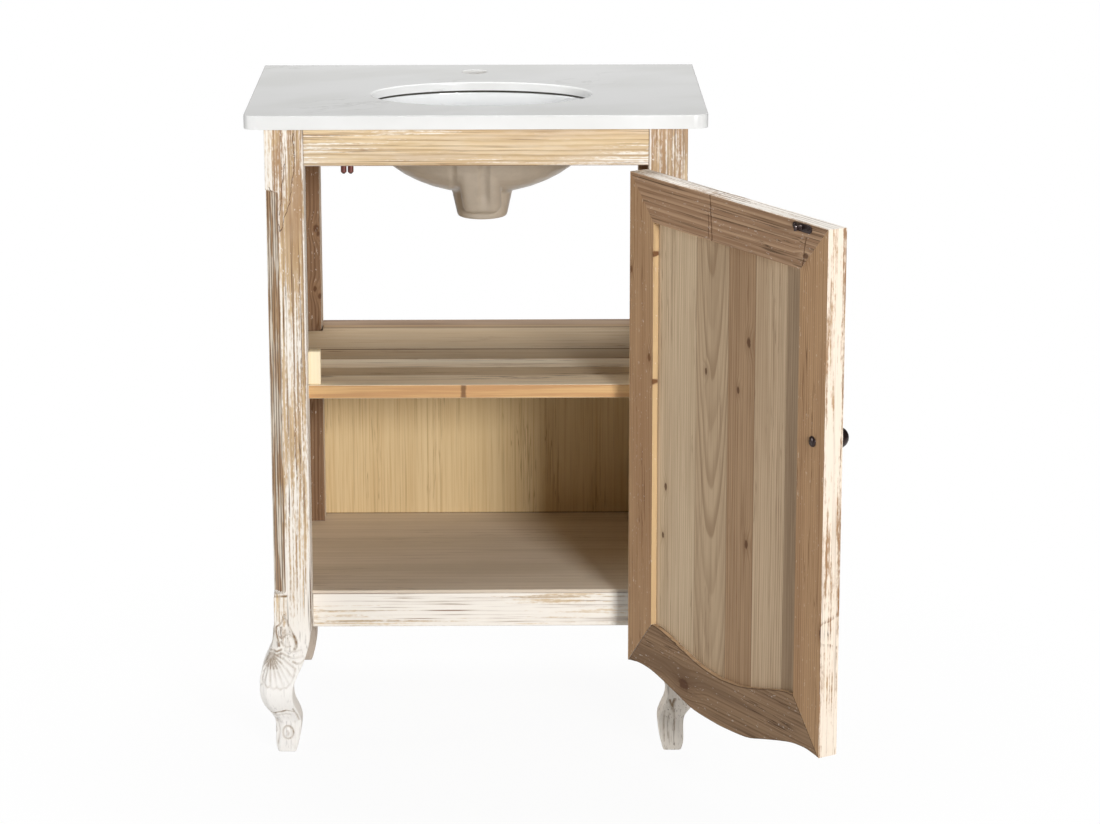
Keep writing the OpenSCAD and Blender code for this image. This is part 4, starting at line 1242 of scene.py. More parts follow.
@dataclass
class MarbleTop:
    """The slab, with eased outer edges and a rounded cut-out."""

    edge_round: float = 2.4 * MM
    cut_out_round: float = 2.6 * MM
    tap_round: float = 0.8 * MM
    corner_segments: int = 3
    edge_segments: int = 4
    cut_out_segments: int = 6
    rim_angle: float = math.radians(60)
    edge_band: float = 20 * MM
    cut_out_band: float = 14 * MM
    corner_height: float = 10 * MM
    # How far above the basin's rim the dark line reaches: partly the joint, partly painted shade of its gap.
    dark_line_height: float = 2.2 * MM

    def rim_edges(self, bm: bmesh.types.BMesh, rim: Rim) -> list[bmesh.types.BMEdge]:
        """Lists the top edges of the slab, of its cut-out or of its tap hole.

        Args:
            bm: The slab.
            rim: Which of them.

        Returns:
            The edges.
        """
        low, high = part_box("marble_top")
        bowl_low, bowl_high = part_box("basin")
        chosen = []
        for edge in sharp_edges(bm, self.rim_angle):
            middle = (edge.verts[0].co + edge.verts[1].co) / 2
            if middle.z < high.z - MM:
                continue
            in_bowl = (bowl_low.x - self.cut_out_band < middle.x < bowl_high.x + self.cut_out_band
                       and bowl_low.y - self.cut_out_band < middle.y < bowl_high.y + self.cut_out_band)
            outer = (min(middle.x - low.x, high.x - middle.x) < self.edge_band
                     or min(middle.y - low.y, high.y - middle.y) < self.edge_band)
            found = Rim.OUTER if outer else Rim.CUT_OUT if in_bowl else Rim.TAP
            if found is rim:
                chosen.append(edge)
        return chosen

    def marble(self) -> Marble:
        """Lays the marble's dark line round the basin's rim: partly the joint, partly painted shade of its
        gap.
        """
        low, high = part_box("basin")
        return Marble(dark_line_top=high.z + self.dark_line_height, cut_out=tuple((low + high) / 2),
                      cut_out_reach=(high.y - low.y) / 2)

    def make(self) -> bpy.types.Object:
        """Builds the slab.

        Returns:
            The piece.
        """
        marble = self.marble().build()
        bm = solid_copy("marble_top")
        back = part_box("marble_top")[1].y
        corners = [edge for edge in sharp_edges(bm, self.rim_angle)
                   if abs(edge.verts[0].co.z - edge.verts[1].co.z) > self.corner_height
                   and edge.verts[0].co.y > back - MM]
        ease_edges(bm, corners, self.edge_round, self.corner_segments)
        for rim, width, segments in ((Rim.OUTER, self.edge_round, self.edge_segments),
                                     (Rim.CUT_OUT, self.cut_out_round, self.cut_out_segments),
                                     (Rim.TAP, self.tap_round, EASED_SEGMENTS)):
            ease_edges(bm, self.rim_edges(bm, rim), width, segments)
        return stand_for(to_object(bm, "marble_slab", [marble]), "marble_top")


@dataclass
class Basin:
    """The undermounted basin, white inside and clay grey under the slab."""

    voxel: float = 1.9 * MM
    rounds: int = 7
    reveal: float = 4 * MM
    glazed_depth: float = 106.5 * MM
    bore_reach: float = 27 * MM
    recess_reach: float = 33 * MM
    recess_foot: float = 34 * MM
    boss_skin: float = 3 * MM
    rim_width: float = 17 * MM
    rim_height: float = 9 * MM
    groove_foot: float = 14 * MM
    groove_top: float = 20 * MM
    groove_fade: float = 24 * MM
    grooves: tuple[tuple[float, float, float], ...] = ((3 * MM, 8 * MM, 5 * MM), (-38 * MM, 5 * MM, 4 * MM))
    # How far under the rim the glaze's painted shade starts.
    rim_shade_height: float = 2.4 * MM

    def glazed(self, place: Vector, low: Vector, high: Vector) -> bool:
        """Tells whether a place is on the bowl's inner, glazed side.

        Args:
            place: The place.
            low: The lowest corner of the basin's box.
            high: The highest corner of the basin's box.

        Returns:
            True on the glazed side.
        """
        middle = (low + high) / 2
        from_outlet = math.hypot(place.x - middle.x, place.y - middle.y)
        above_foot = place.z - low.z
        if from_outlet < self.bore_reach and above_foot > self.boss_skin:
            return True
        if from_outlet < self.recess_reach and above_foot > self.recess_foot:
            return True
        rim = self.rim_width - self.reveal
        inner = Vector(((high.x - low.x) / 2 - rim, (high.y - low.y) / 2 - rim, self.glazed_depth))
        top = high.z - self.rim_height
        if place.z > top:
            flat = math.hypot((place.x - middle.x) / inner.x, (place.y - middle.y) / inner.y)
            return flat < 1.0
        away = Vector(((place.x - middle.x) / inner.x, (place.y - middle.y) / inner.y,
                       (place.z - top) / inner.z))
        return away.length < 1.0

    def press_groove(self, mesh: bpy.types.Mesh, low: Vector, high: Vector) -> None:
        """Presses the upright grooves beside and between the lobes of the overflow's channel.

        Each groove is its place from the middle, its half width and its depth.

        Args:
            mesh: The basin's mesh.
            low: The lowest corner of the basin's box.
            high: The highest corner of the basin's box.
        """
        middle = (low + high) / 2
        foot = low.z + self.groove_foot
        top = high.z - self.groove_top
        for vertex in mesh.vertices:
            if vertex.normal.y > -0.2 or not foot < vertex.co.z < top:
                continue
            if self.glazed(vertex.co, low, high):
                continue
            fade = min(1.0, (vertex.co.z - foot) / self.groove_fade)
            for place, half, depth in self.grooves:
                off = abs(vertex.co.x - middle.x - place) / half
                if off < 1.0:
                    vertex.co.y += depth * fade * (1.0 - off * off)

    def make(self) -> bpy.types.Object:
        """Builds the basin.

        Returns:
            The piece.
        """
        low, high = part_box("basin")
        glaze = Plain("white_glaze", paint(244, 245, 245), 0.12, coat=0.5,
                      rim_shade_from=high.z - self.rim_shade_height).build()
        clay = Plain("fired_clay", paint(186, 173, 156), 0.3, coat=0.2, speckle=0.08).build()
        mesh = remeshed(solid_copy("basin"), self.voxel, self.rounds)
        self.press_groove(mesh, low, high)
        piece = mesh_object(mesh, "basin_ware", [glaze, clay])
        for face in piece.data.polygons:
            face.material_index = 0 if self.glazed(face.center, low, high) else 1
        return stand_for(piece, "basin")


# ---- Legs with their carving ----


@dataclass(frozen=True)
class Stroke:
    """One carved groove: its line on the leg, its half width, its depth and how much painted shade it gets.

    The line's points are the distance from the leg's outer face inwards and the height.
    """

    line: tuple[tuple[float, float], ...]
    width: float = 1.5
    depth: float = 0.9
    dark: float = 0.4

    def near(self, place: tuple[float, float]) -> bool:
        """Tells whether a place may lie in the groove.

        Args:
            place: The place on the leg.

        Returns:
            True within the box round the groove.
        """
        across = [point[0] for point in self.line]
        up = [point[1] for point in self.line]
        return (min(across) - self.width < place[0] < max(across) + self.width
                and min(up) - self.width < place[1] < max(up) + self.width)


@dataclass(frozen=True)
class Boss:
    """One raised oval: its centre, its two radii and its height."""

    centre: tuple[float, float]
    radii: tuple[float, float]
    height: float


@dataclass
class KneeCarving:
    """The leaf, flower, shell, collar and eye that are carved on a front leg, in millimetres."""

    fan_root: tuple[float, float] = (-7.5, 145.0)
    fan_ends: tuple[tuple[float, float], ...] = (
        (-19.0, 112.0), (-14.0, 104.0), (-6.0, 100.0), (3.0, 98.5), (12.0, 99.0), (19.5, 103.0),
        (25.0, 112.0), (28.0, 124.0))
    eye: tuple[float, float] = (15.7, 28.6)
    eye_radii: tuple[float, float] = (7.2, 9.2)
    plain_toe: bool = False

    def fan(self) -> list[Stroke]:
        """Lists the grooves between the shell's ribs and along its scalloped edge.

        Returns:
            The grooves.
        """
        strokes = []
        for end in self.fan_ends:
            middle = ((self.fan_root[0] + end[0]) / 2 + 1.5, (self.fan_root[1] + end[1]) / 2 + 2.0)
            strokes.append(Stroke((self.fan_root, middle), 1.6, 1.6, 0.7))
            strokes.append(Stroke((middle, end), 1.8, 1.4, 0.3))
        for first, second in zip(self.fan_ends, self.fan_ends[1:]):
            low = ((first[0] + second[0]) / 2, (first[1] + second[1]) / 2 - 3.0)
            strokes.append(Stroke((first, low, second), 1.8, 1.3, 0.35))
        return strokes

    def leaf(self) -> list[Stroke]:
        """Lists the grooves of the pointed leaf, its flower and the curl beside it.

        Returns:
            The grooves.
        """
        return [
            Stroke(((-1.0, 220.5), (6.0, 220.0), (17.0, 220.5)), 1.9, 0.6, 1.0),
            Stroke(((2.6, 178.0), (6.5, 180.0), (9.5, 184.0), (12.0, 190.0), (13.3, 194.0)), 1.6, 1.6, 1.0),
            Stroke(((13.3, 194.0), (16.5, 186.0), (21.0, 176.1), (24.0, 169.5), (26.2, 164.8)),
                   1.6, 1.6, 1.0),
            Stroke(((26.2, 164.8), (28.4, 159.5), (29.4, 155.0), (29.0, 151.0), (27.0, 148.0)),
                   2.4, 1.8, 1.0),
            Stroke(((2.6, 178.0), (2.2, 171.0), (3.2, 165.0), (5.5, 158.0), (6.5, 152.0)), 1.6, 1.5, 0.9),
            Stroke(((6.5, 164.5), (10.0, 162.0), (14.0, 165.5), (13.5, 169.5), (14.5, 173.5)), 1.5, 1.3, 0.7),
            Stroke(((14.0, 165.5), (17.0, 168.5), (20.5, 168.5), (24.0, 164.0)), 1.5, 1.1, 0.4),
            Stroke(((9.0, 158.0), (12.0, 153.5), (16.0, 150.5), (21.0, 151.5)), 1.6, 1.4, 0.7),
            Stroke(((9.0, 175.5), (8.0, 169.0), (9.5, 165.0)), 1.4, 1.0, 0.3),
            Stroke(((18.0, 163.0), (17.5, 157.0), (20.0, 154.0)), 1.4, 1.0, 0.3),
            Stroke(((-8.0, 149.0), (-3.0, 146.0), (3.0, 145.0), (9.0, 147.5)), 1.8, 1.4, 0.7),
            Stroke(((-9.0, 141.5), (-3.0, 139.5), (4.0, 141.0), (10.0, 143.0), (15.0, 140.5)), 1.8, 1.4, 0.5),
            Stroke(((14.0, 147.0), (20.0, 145.2), (27.0, 145.0), (36.0, 147.0)), 1.6, 1.3, 0.3),
            Stroke(((15.0, 140.5), (21.0, 138.0), (28.0, 137.5), (38.0, 139.5)), 1.7, 1.4, 0.35),
            Stroke(((25.0, 133.0), (30.0, 130.5), (35.0, 131.0), (40.0, 134.5)), 1.8, 1.3, 0.6),
        ]

    def toe(self) -> list[Stroke]:
        """Lists the grooves of the collar, the eye and the toe.

        Returns:
            The grooves.
        """
        if self.plain_toe:
            return [Stroke(((12.0, 79.0), (14.0, 72.0), (15.0, 66.0), (13.0, 58.0)), 2.6, 1.6, 0.9),
                    Stroke(((18.5, 78.0), (17.0, 72.0), (15.0, 66.0)), 2.0, 1.2, 0.8),
                    Stroke(((13.0, 58.0), (11.5, 48.0), (12.5, 30.0)), 1.6, 1.0, 0.7),
                    Stroke(((19.0, 56.0), (20.5, 40.0), (19.5, 18.0)), 1.3, 0.8, 0.5),
                    Stroke(((25.0, 60.0), (26.0, 42.0), (25.0, 14.0)), 1.4, 0.8, 0.6)]
        ring = tuple((self.eye[0] + self.eye_radii[0] * math.cos(turn * math.tau / 14),
                      self.eye[1] + self.eye_radii[1] * math.sin(turn * math.tau / 14))
                     for turn in range(15))
        return [
            Stroke(((-3.0, 57.5), (1.5, 60.0), (7.0, 61.0), (14.0, 63.5), (24.0, 61.0)), 1.6, 1.3, 0.8),
            Stroke(((-3.0, 51.0), (2.0, 54.5), (8.0, 56.0), (14.0, 57.5), (20.0, 55.5)), 1.3, 0.9, 0.25),
            Stroke(((23.4, 66.0), (25.5, 61.0), (28.0, 56.0), (31.0, 47.4)), 1.6, 1.2, 0.5),
            Stroke(((25.0, 45.0), (25.0, 5.0)), 1.2, 0.7, 0.2),
            Stroke(((0.5, 47.0), (2.5, 38.0), (3.5, 30.0), (1.0, 12.0)), 2.4, 0.9, 0.35),
            Stroke(ring, 1.9, 1.8, 1.0),
            Stroke(((14.6, 31.0), (16.4, 28.0), (15.6, 25.0)), 1.7, 0.8, 0.9),
            Stroke(((-1.0, 36.0), (2.0, 24.0), (0.0, 12.0)), 2.6, 0.6, 0.6),
            Stroke(((-2.0, 44.0), (3.0, 46.5), (6.0, 43.0)), 2.0, 0.8, 0.35),
        ]

    def bosses(self) -> list[Boss]:
        """Lists the raised ovals of the leaf, the shell and the eye.

        Returns:
            The ovals.
        """
        raised = [Boss((9.0, 171.0), (6.0, 7.5), 2.2), Boss((18.5, 159.5), (6.5, 8.5), 2.6),
                  Boss((10.0, 156.0), (4.5, 5.0), 1.6), Boss((26.0, 142.0), (12.0, 3.8), 1.8),
                  Boss((2.0, 142.5), (8.0, 2.6), 1.4), Boss((19.5, 176.0), (3.5, 9.0), 1.2)]
        for first, second in zip(self.fan_ends, self.fan_ends[1:]):
            middle = ((first[0] + second[0]) / 2, (first[1] + second[1]) / 2)
            raised.append(Boss((middle[0] * 0.82 + self.fan_root[0] * 0.18,
                                middle[1] * 0.82 + self.fan_root[1] * 0.18), (3.2, 9.0), 1.3))
        if not self.plain_toe:
            raised.append(Boss(self.eye, (4.6, 6.2), 1.6))
        return raised


def gap_to_line(place: tuple[float, float], line: tuple[tuple[float, float], ...]) -> float:
    """Gives the distance from a place to a line of several points.

    Args:
        place: The place.
        line: The line's points.

    Returns:
        The shortest distance.
    """
    best = math.inf
    for (ax, ay), (bx, by) in zip(line, line[1:]):
        run, rise = bx - ax, by - ay
        share = ((place[0] - ax) * run + (place[1] - ay) * rise) / (run * run + rise * rise)
        share = min(max(share, 0.0), 1.0)
        best = min(best, math.hypot(place[0] - ax - share * run, place[1] - ay - share * rise))
    return best


@dataclass
class Legs:
    """The four legs, with the knees and feet of the front ones carved."""

    voxel: float = 1.45 * MM
    rear_voxel: float = 2.4 * MM
    rounds: int = 3
    carved_height: float = 226.0
    carved_facing: float = 0.35
    boss_share: float = 0.5
    top_overhang: float = 26 * MM
    rail_step: float = 2 * MM

    def carve(self, mesh: bpy.types.Mesh, carving: KneeCarving, corner: Vector, side: int) -> None:
        """Cuts the carving into a leg and stores the painted shade of its grooves in the attribute carve.

        Args:
            mesh: The leg.
            carving: What is carved.
            corner: The leg's outer corner at the floor.
            side: 1 where the leg's inside lies towards +X, -1 where it lies towards -X.
        """
        grooves = mesh.attributes.new("carve", "FLOAT", "POINT")
        strokes = carving.fan() + carving.leaf() + carving.toe()
        bosses = carving.bosses()
        moves = {}
        for vertex in mesh.vertices:
            if vertex.co.z > self.carved_height * MM:
                continue
            place = vertex.co - corner
            height = place.z / MM
            inwards = Vector((place.x * side, place.y)) / MM
            normal = vertex.normal.copy()
            front = -normal.y > self.carved_facing and -normal.y >= -normal.x * side
            flank = -normal.x * side > self.carved_facing
            if not (front or flank):
                continue
            spot = (inwards.x if front else inwards.y, height)
            depth, dark = self.cut_at(spot, strokes)
            lift = self.lift_at(spot, bosses)
            # Stores the painted shade of the grooves for the leg's material.
            grooves.data[vertex.index].value = dark
            moves[vertex.index] = normal * ((lift * self.boss_share - depth) * MM)
        for index, move in moves.items():
            mesh.vertices[index].co += move

    def cut_at(self, spot: tuple[float, float], strokes: list[Stroke]) -> tuple[float, float]:
        """Gives how deep the grooves are at a place, and how much painted shade they get.

        Args:
            spot: The place on the leg.
            strokes: The grooves.

        Returns:
            The depth in millimetres and the darkness.
        """
        depth = 0.0
        dark = 0.0
        for stroke in strokes:
            if not stroke.near(spot):
                continue
            near = gap_to_line(spot, stroke.line) / stroke.width
            if near < 1.0:
                cut = 1.0 - near * near
                depth = max(depth, cut * stroke.depth)
                dark = max(dark, cut * stroke.dark)
        return depth, dark

    def lift_at(self, spot: tuple[float, float], bosses: list[Boss]) -> float:
        """Gives how high the raised ovals are at a place.

        Args:
            spot: The place on the leg.
            bosses: The ovals.

        Returns:
            The height in millimetres.
        """
        lift = 0.0
        for boss in bosses:
            away = math.hypot((spot[0] - boss.centre[0]) / boss.radii[0],
                              (spot[1] - boss.centre[1]) / boss.radii[1])
            if away < 1.0:
                lift = max(lift, boss.height * math.sqrt(1.0 - away * away))
        return lift

    def make_front(self, node: str, wood: bpy.types.Material, side: int, carving: KneeCarving
                   ) -> bpy.types.Object:
        """Builds a carved front leg.

        Args:
            node: The leg's solid.
            wood: Its finish.
            side: 1 for the left leg, -1 for the right one.
            carving: What is carved on it.

        Returns:
            The piece.
        """
        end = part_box("marble_top")[0 if side > 0 else 1].x
        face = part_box("front_top_rail")[0].y
        corner = Vector((end + side * self.top_overhang, face - self.rail_step, 0.0))
        mesh = remeshed(solid_copy(node), self.voxel, self.rounds)
        self.carve(mesh, carving, corner, side)
        return stand_for(mesh_object(mesh, node + "_carved", [wood]), node)

    def make_rear(self, node: str, wood: bpy.types.Material) -> bpy.types.Object:
        """Builds a plain rear leg."""
        mesh = remeshed(solid_copy(node), self.rear_voxel, self.rounds)
        return stand_for(mesh_object(mesh, node + "_plain", [wood]), node)

    def woods(self) -> dict[str, LimedLeg]:
        """Lists the wood of each leg.

        Returns:
            The woods by node.
        """
        leg = dict(grain=Grain.UPRIGHT, early=paint(226, 200, 160), late=paint(146, 110, 76),
                   stain=paint(196, 164, 122), ring=5.0 * MM, slope=0.004, lime=0.36, cracks=1.0,
                   fibre=0.5, contrast=1.0, veil=0.1, lines=1.0, crack_colour=paint(104, 74, 48), flecks=0.6)
        rear = {**leg, "early": paint(206, 176, 138), "late": paint(146, 114, 84),
                "stain": paint(180, 148, 112), "chamfered": False, "bare": FRONT, "bare_from": 0.2,
                "lime": 0.5, "bare_tint": paint(184, 174, 174), "lime_colour": paint(212, 200, 186),
                "foot_white": paint(196, 180, 166), "foot_wash": 0.55, "veil": 0.0, "lines": 0.3}
        split = (Split((0.775, -0.019), (0.716, -0.006), 0.9 * MM),
                 Split((0.806, 0.001), (0.738, -0.007), 0.8 * MM),
                 Split((0.846, 0.012), (0.808, 0.014), 0.9 * MM),
                 Split((0.716, -0.006), (0.756, 0.007), 0.8 * MM),
                 Split((0.756, 0.007), (0.806, 0.014), 0.7 * MM))
        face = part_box("rear_leg_left")[0].y
        knots = (Knot(0.647, 0.0194, 4 * MM, face), Knot(0.6385, 0.022, 2.5 * MM, face),
                 Knot(0.5594, 0.0164, 3 * MM, face), Knot(0.549, 0.0233, 3 * MM, face))
        return {
            "front_leg_left": LimedLeg("front_left_pine", pith=(-0.3, 0.0), seed=41.0, inner_arris=0.025,
                                       splits=split, **leg),
            "front_leg_right": LimedLeg("front_right_pine", pith=(0.8, 0.0), seed=43.0, inner_arris=0.473,
                                        outer=(0.7071, -0.7071, 0.0), **{
                                            **leg, "lime": 0.34, "foot_white": paint(206, 192, 172),
                                            "foot_wash": 0.15, "lines": 0.7}),
            "rear_leg_left": LimedLeg("rear_left_pine", pith=(-0.3, 0.3), seed=45.0, knots=knots, **rear),
            "rear_leg_right": LimedLeg("rear_right_pine", pith=(0.8, 0.3), seed=47.0, **rear),
        }

    def make(self, groups: WoodGroups) -> None:
        """Builds the legs.

        Args:
            groups: The effects that the woods share.
        """
        woods = self.woods()
        for node, side, carving in (("front_leg_left", 1, KneeCarving()),
                                    ("front_leg_right", -1, KneeCarving(plain_toe=True))):
            self.make_front(node, woods[node].build(groups), side, carving)
        for node in ("rear_leg_left", "rear_leg_right"):
            self.make_rear(node, woods[node].build(groups))


# ---- Stage ----


@dataclass
class Studio:
    """The pale floor, the lamps, the world and the camera."""

    lens: float = 114.386
    sensor: float = 36.0
    eye: Place = (0.29623, -4.48381, 1.62280)
    yaw: float = math.radians(-0.61545)
    pitch: float = math.radians(-14.45696)
    roll: float = math.radians(-0.05515)
    far_clip: float = 50.0
    middle: Place = (0.3, 0.1, 0.0)
    white: Colour = (1.0, 1.0, 1.0, 1.0)
    room_light: Colour = (1.0, 0.99, 0.975, 1.0)
    room_strength: float = 0.03
    floor_colour: Colour = (0.82, 0.82, 0.82, 1.0)
    floor_reach: float = 12.0
    shadow_share: float = 0.05

    def camera(self) -> None:
        """Places the camera as the photograph was taken."""
        ahead = Vector((-math.sin(self.yaw) * math.cos(self.pitch), math.cos(self.yaw) * math.cos(self.pitch),
                        math.sin(self.pitch)))
        right = Vector((math.cos(self.yaw), math.sin(self.yaw), 0.0))
        up = right.cross(ahead)
        rolled_right = math.cos(self.roll) * right + math.sin(self.roll) * up
        rolled_up = math.cos(self.roll) * up - math.sin(self.roll) * right
        data = bpy.data.cameras.new("camera")
        data.lens = self.lens
        data.sensor_width = self.sensor
        data.clip_end = self.far_clip
        camera = bpy.data.objects.new("camera", data)
        matrix = Matrix((rolled_right, rolled_up, -ahead)).transposed().to_4x4()
        matrix.translation = Vector(self.eye)
        camera.matrix_world = matrix
        bpy.context.scene.collection.objects.link(camera)
        bpy.context.scene.camera = camera

    def lamp(self, name: str, turn: float, rise: float, far: float, size: float, power: float) -> None:
        """Places a square lamp that points at the middle of the washstand.

        Args:
            name: The lamp's name.
            turn: Degrees round from the front, to the right.
            rise: Degrees above the horizon.
            far: Distance from the middle of the washstand.
            size: Side of the lamp.
            power: Its power in watts.
        """
        low, high = CAD_BOX
        middle = (low + high) / 2
        turn, rise = math.radians(turn), math.radians(rise)
        away = Vector((math.sin(turn) * math.cos(rise), -math.cos(turn) * math.cos(rise), math.sin(rise)))
        data = bpy.data.lights.new(name, "AREA")
        data.shape = "SQUARE"
        data.size = size
        data.energy = power
        lamp = bpy.data.objects.new(name, data)
        turned = away.to_track_quat("Z", "Y").to_matrix().to_4x4()
        lamp.matrix_world = Matrix.Translation(middle + away * far) @ turned
        bpy.context.scene.collection.objects.link(lamp)

    def world(self) -> None:
        """Gives soft light from all round, and white behind the washstand."""
        world = bpy.data.worlds.new("studio")
        world.use_nodes = True
        bpy.context.scene.world = world
        g = Graph(world.node_tree)
        path = g.add("ShaderNodeLightPath").outputs
        seen = g.math("MAXIMUM", path["Is Camera Ray"], path["Is Transmission Ray"])
        soft = g.add("ShaderNodeBackground", {"Color": self.room_light, "Strength": self.room_strength})
        white = g.add("ShaderNodeBackground", {"Color": self.white, "Strength": 1.0})
        blend = g.add("ShaderNodeMixShader", {0: seen, 1: soft.outputs[0], 2: white.outputs[0]})
        g.put(world.node_tree.nodes["World Output"].inputs["Surface"], blend.outputs[0])

    def floor(self) -> None:
        """Lays a white floor that keeps the washstand's shadow."""
        bm = bmesh.new()
        bmesh.ops.create_grid(bm, x_segments=1, y_segments=1, size=self.floor_reach)
        material = bpy.data.materials.new("studio_floor")
        material.use_nodes = True
        g = Graph(material.node_tree)
        nodes = material.node_tree.nodes
        nodes.remove(nodes["Principled BSDF"])
        path = g.add("ShaderNodeLightPath").outputs["Is Camera Ray"]
        matt = g.add("ShaderNodeBsdfDiffuse", {"Color": self.floor_colour})
        white = g.add("ShaderNodeEmission", {"Color": self.white, "Strength": 1.0})
        place = g.add("ShaderNodeTexCoord").outputs["Object"]
        away = g.vector("LENGTH", g.vector("SUBTRACT", place, self.middle))
        open_floor = g.math("MULTIPLY", g.step(away, 0.3, 1.0), self.shadow_share)
        fade = g.math("ADD", open_floor, 1.0 - self.shadow_share)
        share = g.math("MULTIPLY", path, fade)
        blend = g.add("ShaderNodeMixShader", {0: share, 1: matt.outputs[0], 2: white.outputs[0]})
        g.put(nodes["Material Output"].inputs["Surface"], blend.outputs[0])
        floor = to_object(bm, "studio_floor", [material])

    def make(self) -> None:
        """Builds the studio."""
        self.camera()
        self.world()
        self.floor()
        self.lamp("key", turn=21.9, rise=15.0, far=4.6, size=1.0, power=160)
        self.lamp("left_fill", turn=-78, rise=15, far=4.0, size=1.5, power=56)
        self.lamp("rear_top", turn=180, rise=62, far=3.0, size=2.0, power=82)
        scene = bpy.context.scene
        scene.view_settings.view_transform = "Standard"


# ---- Boards and fittings ----


@dataclass
class Carcase:
    """Rails, panels, shelves and blocks of the stand."""

    arris: float = 1.2 * MM
    thin_arris: float = 0.6 * MM

    def woods(self) -> dict[str, Wood]:
        """Lists the wood of each rail and block.

        Returns:
            The woods by node.
        """
        rail = dict(grain=Grain.LEFT_TO_RIGHT, stain=paint(208, 180, 142), slope=0.01, ring=6.5 * MM,
                    bare=BACK, contrast=0.65, veil=0.2, lines=0.6, warp=16 * MM,
                    stained_arris=0.7, crack_colour=paint(132, 98, 68))
        side = dict(grain=Grain.FRONT_TO_BACK, early=paint(226, 200, 160), late=paint(180, 144, 102),
                    stain=paint(208, 178, 136), lime=0.5, pith=(0.2, 0.5))
        inner = dict(grain=Grain.LEFT_TO_RIGHT, early=paint(196, 164, 128), late=paint(146, 114, 84),
                     stain=paint(174, 142, 108), pith=(0.1, 0.4), slope=0.01)
        pale = dict(early=paint(250, 236, 204), late=paint(240, 220, 180), stain=paint(246, 228, 194))
        return {
            "front_top_rail": Wood("front_rail_pine", early=paint(230, 206, 166), late=paint(172, 138, 96),
                                   pith=(0.48, 0.0), lime=0.33, seed=1.3,
                                   **{**rail, "lines": 0.8, "contrast": 0.85}),
            "front_bottom_rail": Wood("bottom_rail_pine", early=paint(224, 202, 168),
                                      late=paint(180, 152, 118), pith=(-0.2, 0.0), lime=0.71, seed=4.6,
                                      **{**rail, "lines": 0.85, "contrast": 0.9, "flecks": 0.3}),
            "rear_top_rail": Wood("rear_top_rail_pine", lime=0.2, bare=FRONT, seed=2.2, **inner),
            "rear_bottom_rail": Wood("rear_bottom_rail_pine", lime=0.2, bare=FRONT, seed=3.2,
                                     **inner),
            "rear_shelf_rail": Wood("shelf_rail_pine", seed=5.1, **{
                **inner, "early": paint(160, 138, 116), "stain": paint(140, 118, 98),
                "late": paint(112, 90, 72)}),
            "side_top_rail_left": Wood("side_top_left_pine", bare=RIGHT, seed=6.4, **side),
            "side_top_rail_right": Wood("side_top_right_pine", bare=LEFT, seed=7.7, **side),
            "side_bottom_rail_left": Wood("side_bottom_left_pine", bare=RIGHT, seed=8.8, **side),
            "side_bottom_rail_right": Wood("side_bottom_right_pine", bare=LEFT, seed=9.9, **side),
            "catch_block": Wood("catch_block_pine", seed=11.0, **inner),
            "shelf_cleats": Wood("cleat_pine", seed=12.0, **{**inner, "grain": Grain.FRONT_TO_BACK}),
            "shelf_blocks": Wood("block_pine", Grain.UPRIGHT, ring=5 * MM, contrast=0.4, fibre=0.2,
                                 cracks=0.0, pith=(-0.3, 0.0), seed=13.0, **pale),
        }

    def make(self, groups: WoodGroups) -> None:
        """Builds every board of the stand.

        Args:
            groups: The effects that the woods share.
        """
        for node, wood in self.woods().items():
            eased_piece(node, wood.build(groups), self.arris)
        for node, wood in self.sheets().items():
            eased_piece(node, wood.build(groups), self.thin_arris)

    def sheets(self) -> dict[str, Wood]:
        """Lists the wood of each shelf and panel.

        Returns:
            The woods by node.
        """
        low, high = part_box("middle_shelf")
        return {
            "middle_shelf": GluedShelf(
                "shelf_pine", Grain.SHELF, paint(255, 246, 226), paint(238, 214, 184), paint(250, 234, 208),
                pith=(0.9, 0.52), ring=5.2 * MM, slope=0.004, fibre=0.4, cracks=1.0, lines=0.45,
                contrast=0.9, front=low.y,
                depth=high.y - low.y, seed=14.0, knots=(Knot(0.2298, 0.006, 4.0 * MM),), bands=(
                    Band(0.0, paint(254, 250, 244)), Band(0.058, paint(208, 196, 180)),
                    Band(0.060, paint(216, 204, 188)), Band(0.102, paint(255, 255, 254)),
                    Band(0.150, paint(182, 170, 154)), Band(0.206, paint(120, 102, 84)),
                    # The last two bands make the strip along the shelf's back edge darker.
                    Band(0.211, paint(190, 180, 166)), Band(high.y - 22 * MM, paint(144, 130, 114)),
                    Band(high.y - 12 * MM, paint(168, 152, 134)))),
            "bottom_board": Wood("bottom_ply", Grain.SHELF, paint(222, 208, 190), paint(192, 176, 156),
                                 paint(208, 194, 174), ring=14 * MM, pith=(0.9, 0.3), slope=0.004,
                                 contrast=0.3, fibre=0.3, cracks=0.3, lines=0.12, seed=15.0),
            "back_panel": Wood("back_ply", Grain.UPRIGHT, paint(228, 204, 160), paint(206, 176, 128),
                               paint(218, 192, 146), ring=9 * MM, pith=(1.25, 0.4), slope=0.0, warp=4 * MM,
                               contrast=0.35, fibre=0.8, cracks=0.5, lines=0.3,
                               crack_colour=paint(146, 112, 70), seed=16.0,
                               # Painted shade in the back panel's corner with the bottom board.
                               corner_shade_below=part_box("bottom_board")[1].z),
            "side_panel_left": Wood("left_panel_pine", Grain.UPRIGHT_SIDE, paint(228, 206, 170),
                                    paint(192, 160, 120), paint(214, 188, 150), lime=0.6, veil=0.4,
                                    lines=0.4, bare=RIGHT, pith=(0.7, 0.0), slope=0.004, seed=17.0),
            "side_panel_right": Wood("right_panel_pine", Grain.UPRIGHT_SIDE, paint(228, 206, 170),
                                     paint(192, 160, 120), paint(214, 188, 150), lime=0.6, veil=0.4,
                                     lines=0.4, bare=LEFT, pith=(0.7, 0.5), slope=0.004,
                                     seed=18.0),
        }


